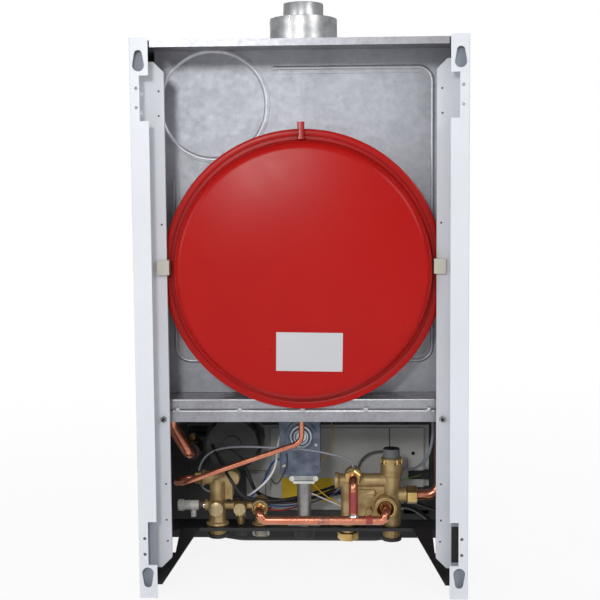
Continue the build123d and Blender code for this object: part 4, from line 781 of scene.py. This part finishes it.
def gas_train():
    """Rings, screws, flange, plate, foot and satin tube of the gas valve."""
    rear = -135.0
    back, up = (0, 1, 0), (0, 0, 1)
    rings = [
        (24, 0), (24, 1.6), (22.8, 2.8), (21.4, 2.8), (20.4, 1.9), (18.8, 1.9), (17.8, 3.2), (17.2, 5.4), (15.8, 6.4),
        (14.2, 6.2),
    ]
    rings += [(13.2, 5.2), (12.4, 5.4), (11.6, 8.4), (10.6, 9.2), (9.0, 9.2), (8.0, 8.0), (7.4, 6.6), (0, 6.4)]
    turned("valve_rings", rings, (6, rear, -540), back, valve_cover, sides=120)
    for step, (sx, sz, size) in enumerate(
        ((-15, -519, 3.2), (31, -519, 3.2), (-15, -589, 3.2), (31, -585, 3.4), (-16, -553, 2.6), (32, -560, 2.6))
    ):
        head = solid((size, 0), (size, 1.6), (size * 0.82, 2.4), (size * 0.45, 2.4), (size * 0.4, 1.4))
        turned(f"valve_screw_{step}", head, (sx, rear, sz), back, zinc, sides=24)
    boxed("valve_flange", (-18, -164, -607.8), (23, -136.6, -599.4), satin, edge=1.0)
    for step, sx in enumerate((-15, 20)):
        turned(
            f"flange_screw_{step}", solid((4, 0), (4, 2.6), (2.2, 2.8), (2, 1.4)), (sx, -136.8, -604), back, zinc,
            sides=24,
        )
    tube = [(10.2, 0), (10.2, 4), (10.6, 5), (10.6, 62), (11.4, 63.2), (11.4, 66), (10, 66.4)]
    turned("gas_tube", tube, (2.5, -150, -674), up, satin)
    boxed("gas_foot", (-21.8, -161.4, -676.8), (26.8, -138.6, -673.2), satin, edge=1.2)
    boxed("valve_plate", (-20.5, -135.2, -596.6), (36.5, -134.4, -513.4), valve_alloy, edge=0.3)


def films():
    """Plate on the vessel, with a patch on the grey cover and a groove and a hole on it drawn in painted shade."""
    centre_x, centre_z = vessel_centre[0], vessel_centre[2]
    columns, rows = 24, 14
    tilt = radians(1.0)
    points, faces = [], []
    for layer in (0.35, 0.02):
        for row in range(rows + 1):
            for column in range(columns + 1):
                across = -45 + 90 * column / columns
                down = -26.5 + 53 * row / rows
                px = -11 + across * cos(tilt) - down * sin(tilt)
                pz = -399 + across * sin(tilt) + down * cos(tilt)
                reach = hypot(px - centre_x, pz - centre_z)
                points.append((px, crown_depth(reach) + layer, pz))
    for row in range(rows):
        for column in range(columns):
            first = row * (columns + 1) + column
            faces.append((first, first + 1, first + columns + 2, first + columns + 1))
    add_piece("bare_plate", points, faces, white_film)
    boxed("bare_patch", (-40, -253.1, -670), (42, -252.75, -632), yellow_film, "control_box_back")
    # The dark groove and hole are painted shade.
    boxed("cover_groove_shade", (-129.5, -253.0, -645), (-128.2, -252.7, -552), gap_shade_and_dark_parts, "control_box_back")
    turned("cover_hole_shade", bevelled(0.5, 2.9, 0.1), (-166, -253.1, -592), (0, 1, 0), gap_shade_and_dark_parts, "control_box_back", 24)


def small_holes():
    """Small punched holes, drawn as grey disks of painted shade, and screw ends in the folded uprights."""
    web = -30.0
    for side in (-1, 1):
        for step, (px, pz) in enumerate(upright_holes):
            turned(
                f"punched_{side + 1}_{step}", bevelled(0.3, 1.5, 0.1), (side * px, web - 0.05, pz), (0, 1, 0),
                hole_shade, None, 20,
            )
        turned(f"stud_{side + 1}", bevelled(9, 1.9, 0.4), (side * 192, web, -495), (0, 1, 0), gap_shade_and_dark_parts, None, 20)


def flue():
    """Rolled collars with their seam."""
    centre = (0, -175, 0)
    outer = [
        (48.5, 2.0), (50.0, 2.0), (50, 60), (50.0, 67.4), (49.8, 69.0), (49.2, 69.3), (48.6, 69.0), (48.5, 60),
        (48.5, 20.0),
    ]
    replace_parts(lathe("outer_collar", outer, centre, duct_metal, "flue_outer_collar", "z"), "flue_outer_collar")
    flange = [(49.9, 18.6), (65, 18.6), (65, 20.2), (64.4, 20.5), (51.4, 20.5), (50, 21.6)]
    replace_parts(lathe("collar_flange", flange, centre, duct_metal, "flue_outer_collar", "z"), "flue_outer_collar")
    inner = [
        (28.5, 20.0), (29.4, 20.0), (29.4, 69.3), (30, 69.8), (30, 90.2), (29.6, 91.2), (29, 91.2), (28.5, 90.4),
        (28.5, 20.0),
    ]
    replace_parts(lathe("inner_collar", inner, centre, duct_metal, "flue_inner_collar", "z"), "flue_inner_collar")
    boxed("collar_seam", (16.6, -128.9, 21), (18.2, -127.6, 68.6), bright_seam, None, 0.3)


def drain():
    """Ribbed drain knob, its grey cock and the stub behind it."""
    y, z = -port_depth, -648
    ahead = (1, 0, 0)
    knob = solid((7.4, 0), (8.0, 0.6), (8.0, 8.8), (7.2, 9.7), (4.6, 9.9), (4.2, 8.6))
    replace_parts(turned("drain_grip", knob, (182.3, y, z), ahead, knob_plastic, "drain_knob"), "drain_knob")
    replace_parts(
        turned("drain_stem", bevelled(9.4, 3), (173.3, y, z), ahead, knob_plastic, "drain_knob", 24), "drain_knob",
    )
    for step in range(14):
        turn = 2 * pi * step / 14
        py, pz = y + 8.0 * cos(turn), z + 8.0 * sin(turn)
        rib = boxed(
            f"drain_rib_{step}", (182.9, py - 0.5, pz - 0.5), (191.2, py + 0.5, pz + 0.5), knob_plastic, "drain_knob",
            0.15,
        )
        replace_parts(rib, "drain_knob")
    body = [(3.06, 0), (6.4, 0), (7.4, 1), (7.4, 8), (6.6, 9.4), (5.2, 10.4), (5.2, 12), (3.06, 12)]
    turned("cock_body", body, (181.6, y, z), (-1, 0, 0), cap_pale, "drain_cock")
    turned(
        "cock_spout", solid((4.3, 0), (4.3, 11), (3.4, 17.3), (2.2, 17.3), (2, 12)), (168.8, y, z), (0, 0, -1),
        cap_pale, "drain_cock",
    )
    turned("cock_stub", solid((5.3, 0), (5.8, 1), (5.8, 6), (5.3, 7)), (153.2, y, z), ahead, brown_stub, "drain_cock")
    turned("cock_ring", [(0, 0), (6.4, 0.3), (6.4, 1.6), (0, 2)], (151.6, y, z), ahead, bright_zinc_and_highlight)


def chamber_forms():
    """Ridges pressed in the chamber plate, and the folds and darts of the crossbar, with ridges and darts lighter as
    painted highlight, painted shade along the fold and painted highlight strips above and below it.
    """
    ring = [(72.6, -110.1), (74.2, -108.9), (76, -108.2), (77.6, -108.2), (79.4, -108.9), (81, -110.1)]
    lathe("pressed_ring", ring, (126, 0, -58.5), ridge_highlight_metal, sides=180)
    route = [(184, -110.9, -165), (184, -110.9, -424), (-184, -110.9, -424), (-184, -110.9, -8), (40, -110.9, -8)]
    pipe("pressed_rib", route, 20, 3.4, ridge_highlight_metal, sides=24)
    # Painted shade along the fold, and painted highlight strips above and below it.
    boxed("bar_fold_shade", (-221, -49.8, -485.0), (221, -49.3, -484.1), dark_fold)
    boxed("bar_crest_highlight", (-221, -49.6, -472.2), (221, -49.1, -470.6), bright_zinc_and_highlight, edge=0.2)
    boxed("bar_edge_highlight", (-221, -49.6, -488.2), (221, -48.9, -486.2), bright_zinc_and_highlight, edge=0.3)
    for step in range(-2, 3):
        px = 88 * step
        dart = [(0, 0), (5, 0), (3.6, 0.9), (2, 1.5), (0, 1.8)]
        turned(f"bar_dart_{step + 2}", dart, (px, -49.5, -485), (0, 1, 0), ridge_highlight_metal, sides=4)


def box_back():
    """Dark sides and lower band of the control box behind the grey cover."""
    node = "control_box_back"
    for name, low, high, look, edge in (
        ("dark_side", (98, -258.9, -690), (190, -251.6, -548.2), black_plastic, 1.0),
        ("dark_foot", (-190.5, -258.9, -726.4), (190.5, -252.4, -682), black_plastic, 1.0),
        ("dark_corner", (-190.5, -258.9, -690), (-150, -252.4, -645), black_plastic, 1.0),
        ("dark_notch", (-190.5, -258.9, -634), (-158, -252.4, -619), black_plastic, 0.6),
        ("seam_low", (-156, -253.1, -619.4), (-128, -252.7, -618.6), dark_fold, 0.0),
        ("seam_up", (-157, -253.1, -619), (-156.2, -252.7, -598), dark_fold, 0.0),
        ("plate_seam_a", (60, -255.9, -621), (97, -255.6, -620.2), dark_fold, 0.0),
        ("plate_seam_b", (67, -255.9, -668), (68, -255.6, -621), dark_fold, 0.0),
    ):
        boxed(name, low, high, look, node, edge)


def openings_behind():
    """Inner faces seen through the keyholes and windows of the flanges, grey-blue as painted shade, with a dark strip
    of painted shade behind one window.
    """
    for side in (-1, 1):
        first, last = sorted((side * 203, side * 223.5))
        boxed(f"inner_face_{side + 1}", (first, -12.6, -24), (last, -11.4, 19), inner_face_shade)
        boxed(f"window_face_{side + 1}", (first, -11.4, -738.2), (last, -10.4, -608), inner_face_shade)
    # Dark strip of painted shade behind the window.
    boxed("window_shade", (-213, -10.2, -690), (-203, -9.6, -640), gap_shade_and_dark_parts, edge=0.2)


def copper_marks():
    """Red lacquer on the branch and heat stains on the crossing pipe."""
    turned("branch_lacquer", [
        (6.42, 0), (6.55, 0.6), (6.55, 30), (6.42, 31),
    ], (branch_x, -97, -613.5), (0, 0, -1), lacquer)
    turned("branch_braze", [
        (6.4, 0), (7.6, 1.4), (8.2, 3.2), (6.4, 4),
    ], (branch_x, -97, -646.5), (0, 0, -1), bright_zinc_and_highlight)
    for step, (px, length) in enumerate(((-18, 18), (-88, 10))):
        turned(f"heat_mark_{step}", [
            (6.38, 0), (6.5, 1.5), (6.5, length - 1.5), (6.38, length),
        ], (px, -97, -656), (-1, 0, 0), lacquer if step else heat_stain)


def controls():
    """Scales round the knobs and on the dial, with the dial's clear lens."""
    for label, px, face, inner, outer, look, node, count in (
        ("dial", 110, -331.2, 13.4, 16.2, dial_mark, "pressure_gauge", 13),
        ("heating", -120, -335.2, 20, 23, scale_mark, "control_box", 9),
        ("water", -62, -335.2, 20, 23, scale_mark, "control_box", 9),
    ):
        for step in range(count):
            turn = radians(-135 + 270 * step / (count - 1))
            place = Vector((sin(turn), 0, cos(turn)))
            turned(
                f"{label}_mark_{step}", bevelled(outer - inner, 0.45, 0.1),
                (px + place.x * inner, face, -648 + place.z * inner), tuple(place), look, node, 12,
            )
    lens = solid((17.4, 0), (17.4, 1))
    turned("dial_lens", lens, (110, -336.8, -648), (0, 1, 0), glass, "pressure_gauge")


# Radius, sheath and points of each wire, in millimetres
wire_runs = {
    "white": (1.6, "white", [
        (37, -150, -541), (42, -132, -556), (40, -124, -578), (54, -118, -604), (78, -124, -624), (100, -150, -642),
    ]),
    "thin_dark_a": (0.8, "black", [
        (28, -134.6, -566), (24, -126, -578), (34, -130, -600), (44, -150, -622), (58, -252.6, -634),
    ]),
    "thin_dark_b": (0.9, "black", [
        (150, -236, -545), (150, -200, -548), (124, -164, -560), (100, -162, -576), (96, -173.5, -584),
    ]),
    "loom_a": (2.4, "black", [
        (142, -173.5, -562), (134, -150, -570), (118, -124, -590), (103, -117, -612), (92, -119, -627),
        (70, -130, -636), (30, -140, -639), (-20, -176, -634), (-52, -220, -634), (-60, -252.6, -634),
    ]),
    "loom_b": (2.2, "black", [
        (112, -148, -634), (96, -134, -634), (60, -136, -641), (20, -150, -646), (-30, -176, -640),
        (-56, -252.6, -641),
    ]),
    "blue": (1.1, "blue", [
        (67.5, -150, -642), (48, -138, -650), (10, -180, -655), (-30, -180, -648), (-58, -252.6, -646),
    ]),
    "red": (1.1, "red", [
        (67.5, -150, -650), (44, -140, -657), (20, -180, -659), (-20, -186, -652), (-44, -252.6, -651),
    ]),
    "yellow_a": (0.9, "yellow", [
        (-20, -200, -471), (-30, -196, -510), (-48, -190, -545), (-38, -172, -572), (-21.5, -160, -584),
    ]),
    "yellow_b": (0.9, "yellow", [(-7, -152, -612), (-24, -158, -634), (-44, -158, -648), (-64, -150, -652)]),
    "yellow_c": (0.9, "yellow", [(-138, -158, -646), (-160, -180, -644), (-172, -210, -648), (-182, -252.2, -652)]),
    "green": (0.9, "green", [(-139, -156, -612), (-158, -186, -614), (-172, -214, -620), (-180, -252.2, -624)]),
    "right_hose": (2.3, "hose", [
        (-186, -178, -471), (-193, -176, -530), (-190, -178, -568), (-178, -184, -594), (-160, -200, -608),
        (-152, -252.6, -616),
    ]),
    "cover_arc": (1.6, "dark_grey", [
        (-78, -252.8, -624), (-80, -244, -606), (-90, -240, -592), (-106, -240, -586), (-124, -244, -586),
        (-134, -252.8, -592),
    ]),
    "right_loom": (3.4, "black", [
        (-138, -156, -650), (-156, -180, -656), (-178, -194, -674), (-196, -198, -692), (-221, -196, -704),
    ]),
    "right_loom_b": (2.4, "black", [(-138, -158, -640), (-158, -190, -650), (-182, -204, -664), (-221, -214, -680)]),
    "white_pair": (0.9, "white", [(-7, -152, -630), (-26, -158, -640), (-46, -158, -648), (-64, -150, -656)]),
}


def wires():
    """Thin wires, hoses and looms between the valve, the groups and the control box."""
    for name, (radius, tint, points) in wire_runs.items():
        cable("wire_" + name, points, radius, cable_looks[tint])


def main_cables():
    """The three cables of the frame as round cords."""
    grey_route = [
        (144.3, -152, -628), (160, -160, -625), (168, -178, -604), (150, -166, -570), (110, -140, -556),
        (55, -116, -553), (0, -112, -554), (-48, -120, -566), (branch_x, -137, -575), (branch_x, -137, -587.2),
    ]
    black_route = [
        (95, -173.7, -586), (95, -159.7, -587), (84, -155, -606), (78, -164, -634),
        (48, -178, -650), (0, -200, -652), (-50, -226, -650), (-62, -241, -650), (-62, -252.7, -650),
    ]
    blue_route = [
        (38.3, -180, -585), (48.3, -180, -585), (56, -186, -598), (70, -204, -634), (86, -232, -655), (92, -244, -660),
        (92, -255.7, -660),
    ]
    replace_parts(cable("grey_cable", grey_route, 1.5, cable_looks["grey"], "cables"), "cables")
    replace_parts(cable("black_cable", black_route, 3.0, cable_looks["black"], "cables"), "cables")
    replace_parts(cable("blue_cable", blue_route, 1.5, cable_looks["blue"], "cables"), "cables")


def pump_details():
    """Brass elbow and its plug at the large copper pipe."""
    back = (0, 1, 0)
    elbow = [(9.3, 0), (13.4, 0), (14.0, 1), (14.0, 5), (13.4, 6), (12.6, 7.4), (12.6, 12), (11, 13.4), (9.3, 13.8)]
    turned("pump_elbow", elbow, (173.5, -186, -571), back, bright_brass)
    turned("elbow_plug", bevelled(12, 5, 1), (173.5, -194, -552), back, bright_brass)


def copper_pipes():
    """Round copper pipes in place of the frame's plain ones."""
    y = -port_depth
    specs = {
        "vessel_pipe": ([
            (3, -80, -466), (3, -80, -538), (189.5, -99, -606), (189.5, y, -606), (160.5, y, -606),
        ], [16, 24.5, 24.5], 4.0),
        "flow_pipe": ([(-124, y, -205), (-199, y, -205), (-199, y, -631.6), (-151.5, y, -631.6)], 20, 7.8),
        "return_pipe": (
            [(124, y, -205), (199, y, -205), (199, y, -527), (173.5, y, -571), (173.5, -181, -571)],
            [20, 26, 14],
            9.0,
        ),
        "bypass_main": (
            [
                (67.5, -136, -646), (67.5, -97, -646), (59.5, -97, -656), (-114, -97, -656), (-118, -97, -645.6),
                (-118, -131, -645.6),
            ],
            [6.5, 6, 7, 6.5],
            6.4,
        ),
        "bypass_branch": ([(branch_x, -136, -600), (branch_x, -97, -600), (branch_x, -97, -656)], 12, 6.4),
    }
    for name, (points, radii, radius) in specs.items():
        node = "bypass_pipe" if name.startswith("bypass") else name
        piece = pipe("copper_" + name, points, radii, radius, copper, node)
        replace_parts(piece, node)


def floor_and_backdrop():
    """Pale floor that keeps a soft shadow, below the case."""
    look = Look("floor")
    tree, link = look.tree, look.link
    path = look.node("ShaderNodeLightPath")
    pale = look.node("ShaderNodeBsdfDiffuse", Color=(0.86, 0.86, 0.86, 1.0))
    glow = look.node("ShaderNodeEmission", Color=(1, 1, 1, 1), Strength=1.0)
    mix = look.node("ShaderNodeMixShader")
    reach = look.node("ShaderNodeVectorMath", operation="LENGTH")
    link(look.place, reach.inputs[0])
    fade = look.node("ShaderNodeMapRange", **{"From Min": 0.4, "From Max": 2.2, "To Min": 0.86, "To Max": 1.0})
    link(reach.outputs["Value"], fade.inputs["Value"])
    link(fade.outputs["Result"], mix.inputs[0])
    link(pale.outputs[0], mix.inputs[1])
    link(glow.outputs[0], mix.inputs[2])
    seen = look.node("ShaderNodeMath", operation="MAXIMUM")
    link(path.outputs["Is Camera Ray"], seen.inputs[0])
    link(path.outputs["Is Glossy Ray"], seen.inputs[1])
    clean = look.node("ShaderNodeMath", operation="MAXIMUM")
    link(seen.outputs[0], clean.inputs[0])
    link(path.outputs["Is Transmission Ray"], clean.inputs[1])
    choose = look.node("ShaderNodeMixShader")
    link(clean.outputs[0], choose.inputs[0])
    link(pale.outputs[0], choose.inputs[1])
    link(mix.outputs[0], choose.inputs[2])
    link(choose.outputs[0], tree.nodes["Material Output"].inputs["Surface"])
    tree.nodes.remove(look.shader)
    size = 30.0
    data = bpy.data.meshes.new("floor")
    z = (case_foot - 0.5) * mm
    data.from_pydata([(-size, -size, z), (size, -size, z), (size, size, z), (-size, size, z)], [], [(0, 1, 2, 3)])
    data.materials.append(look.material)
    floor = bpy.data.objects.new("floor", data)
    scene.collection.objects.link(floor)


def sky():
    """Even pale surroundings that show white to the camera and through glass."""
    world = bpy.data.worlds.new("surroundings")
    scene.world = world
    world.use_nodes = True
    world.node_tree.nodes.clear()
    tree = Tree(world.node_tree)
    path = tree.node("ShaderNodeLightPath")
    soft = tree.node("ShaderNodeBackground", Color=(0.93, 0.96, 1.0, 1.0), Strength=world_light)
    white = tree.node("ShaderNodeBackground", Color=(1, 1, 1, 1))
    seen = tree.node("ShaderNodeMath", operation="MAXIMUM")
    mix = tree.node("ShaderNodeMixShader")
    output = tree.node("ShaderNodeOutputWorld")
    tree.link(path.outputs["Is Camera Ray"], seen.inputs[0])
    tree.link(path.outputs["Is Transmission Ray"], seen.inputs[1])
    tree.link(seen.outputs[0], mix.inputs[0])
    tree.link(soft.outputs[0], mix.inputs[1])
    tree.link(white.outputs[0], mix.inputs[2])
    tree.link(mix.outputs[0], output.inputs["Surface"])


def lamp(name, place, target, size, power, tint=(1, 1, 1)):
    """Round soft light that faces a point."""
    data = bpy.data.lights.new(name, "AREA")
    data.shape = "DISK"
    data.size = size
    data.energy = power
    data.color = tint
    light = bpy.data.objects.new(name, data)
    light.location = place
    light.rotation_euler = (Vector(target) - Vector(place)).to_track_quat("-Z", "Y").to_euler()
    scene.collection.objects.link(light)


def lights():
    """Soft studio lamps round the boiler."""
    middle = (0, -0.1, -0.36)
    lamp("key", (0.36, 2.3, 0.36), middle, 0.34, 14)
    lamp("left_fill", (-1.5, 1.7, 0.7), middle, 1.0, 12)
    lamp("right_fill", (1.7, 1.5, 0.2), middle, 1.0, 9)
    lamp("bay_fill", (-0.1, 1.6, -1.0), (0, -0.15, -0.62), 0.6, 4)
    lamp("front_fill", (0.6, -2.4, 0.8), middle, 1.6, 26)


def camera():
    """Camera behind the boiler at the photograph's viewing angle."""
    data = bpy.data.cameras.new("camera")
    data.lens = camera_focal
    data.sensor_width = camera_sensor
    data.clip_start = 0.05
    made = bpy.data.objects.new("camera", data)
    pitch, yaw, roll = camera_turn
    turn = Matrix.Rotation(roll, 3, "Z") @ Matrix.Rotation(yaw, 3, "Y") @ Matrix.Rotation(pitch, 3, "X")
    rows = turn @ Matrix(((-1, 0, 0), (0, 0, -1), (0, -1, 0)))
    axes = Matrix((rows[0], -rows[1], -rows[2])).transposed()
    made.matrix_world = Matrix.Translation(camera_place) @ axes.to_4x4()
    scene.collection.objects.link(made)
    scene.camera = made


camera()
sky()
lights()
floor_and_backdrop()
finish_nodes()
vessel()
copper_pipes()
sheaths = {
    "grey": ((150, 154, 160), 0.4),
    "dark_grey": ((84, 85, 88), 0.5),
    "white": ((226, 227, 226), 0.4),
    "black": ((26, 26, 28), 0.4),
    "blue": ((40, 92, 168), 0.4),
    "red": ((176, 30, 34), 0.4),
    "yellow": ((200, 152, 30), 0.4),
    "green": ((132, 168, 40), 0.4),
    "hose": ((150, 160, 172), 0.35),
}
cable_looks = {name: moulded(name + "_sheath", tint, rough, 0.02) for name, (tint, rough) in sheaths.items()}
castings()
gas_train()
pump_details()
films()
small_holes()
flue()
drain()
controls()
chamber_forms()
box_back()
openings_behind()
copper_marks()
wires()
main_cables()

scene.view_settings.view_transform = "Standard"
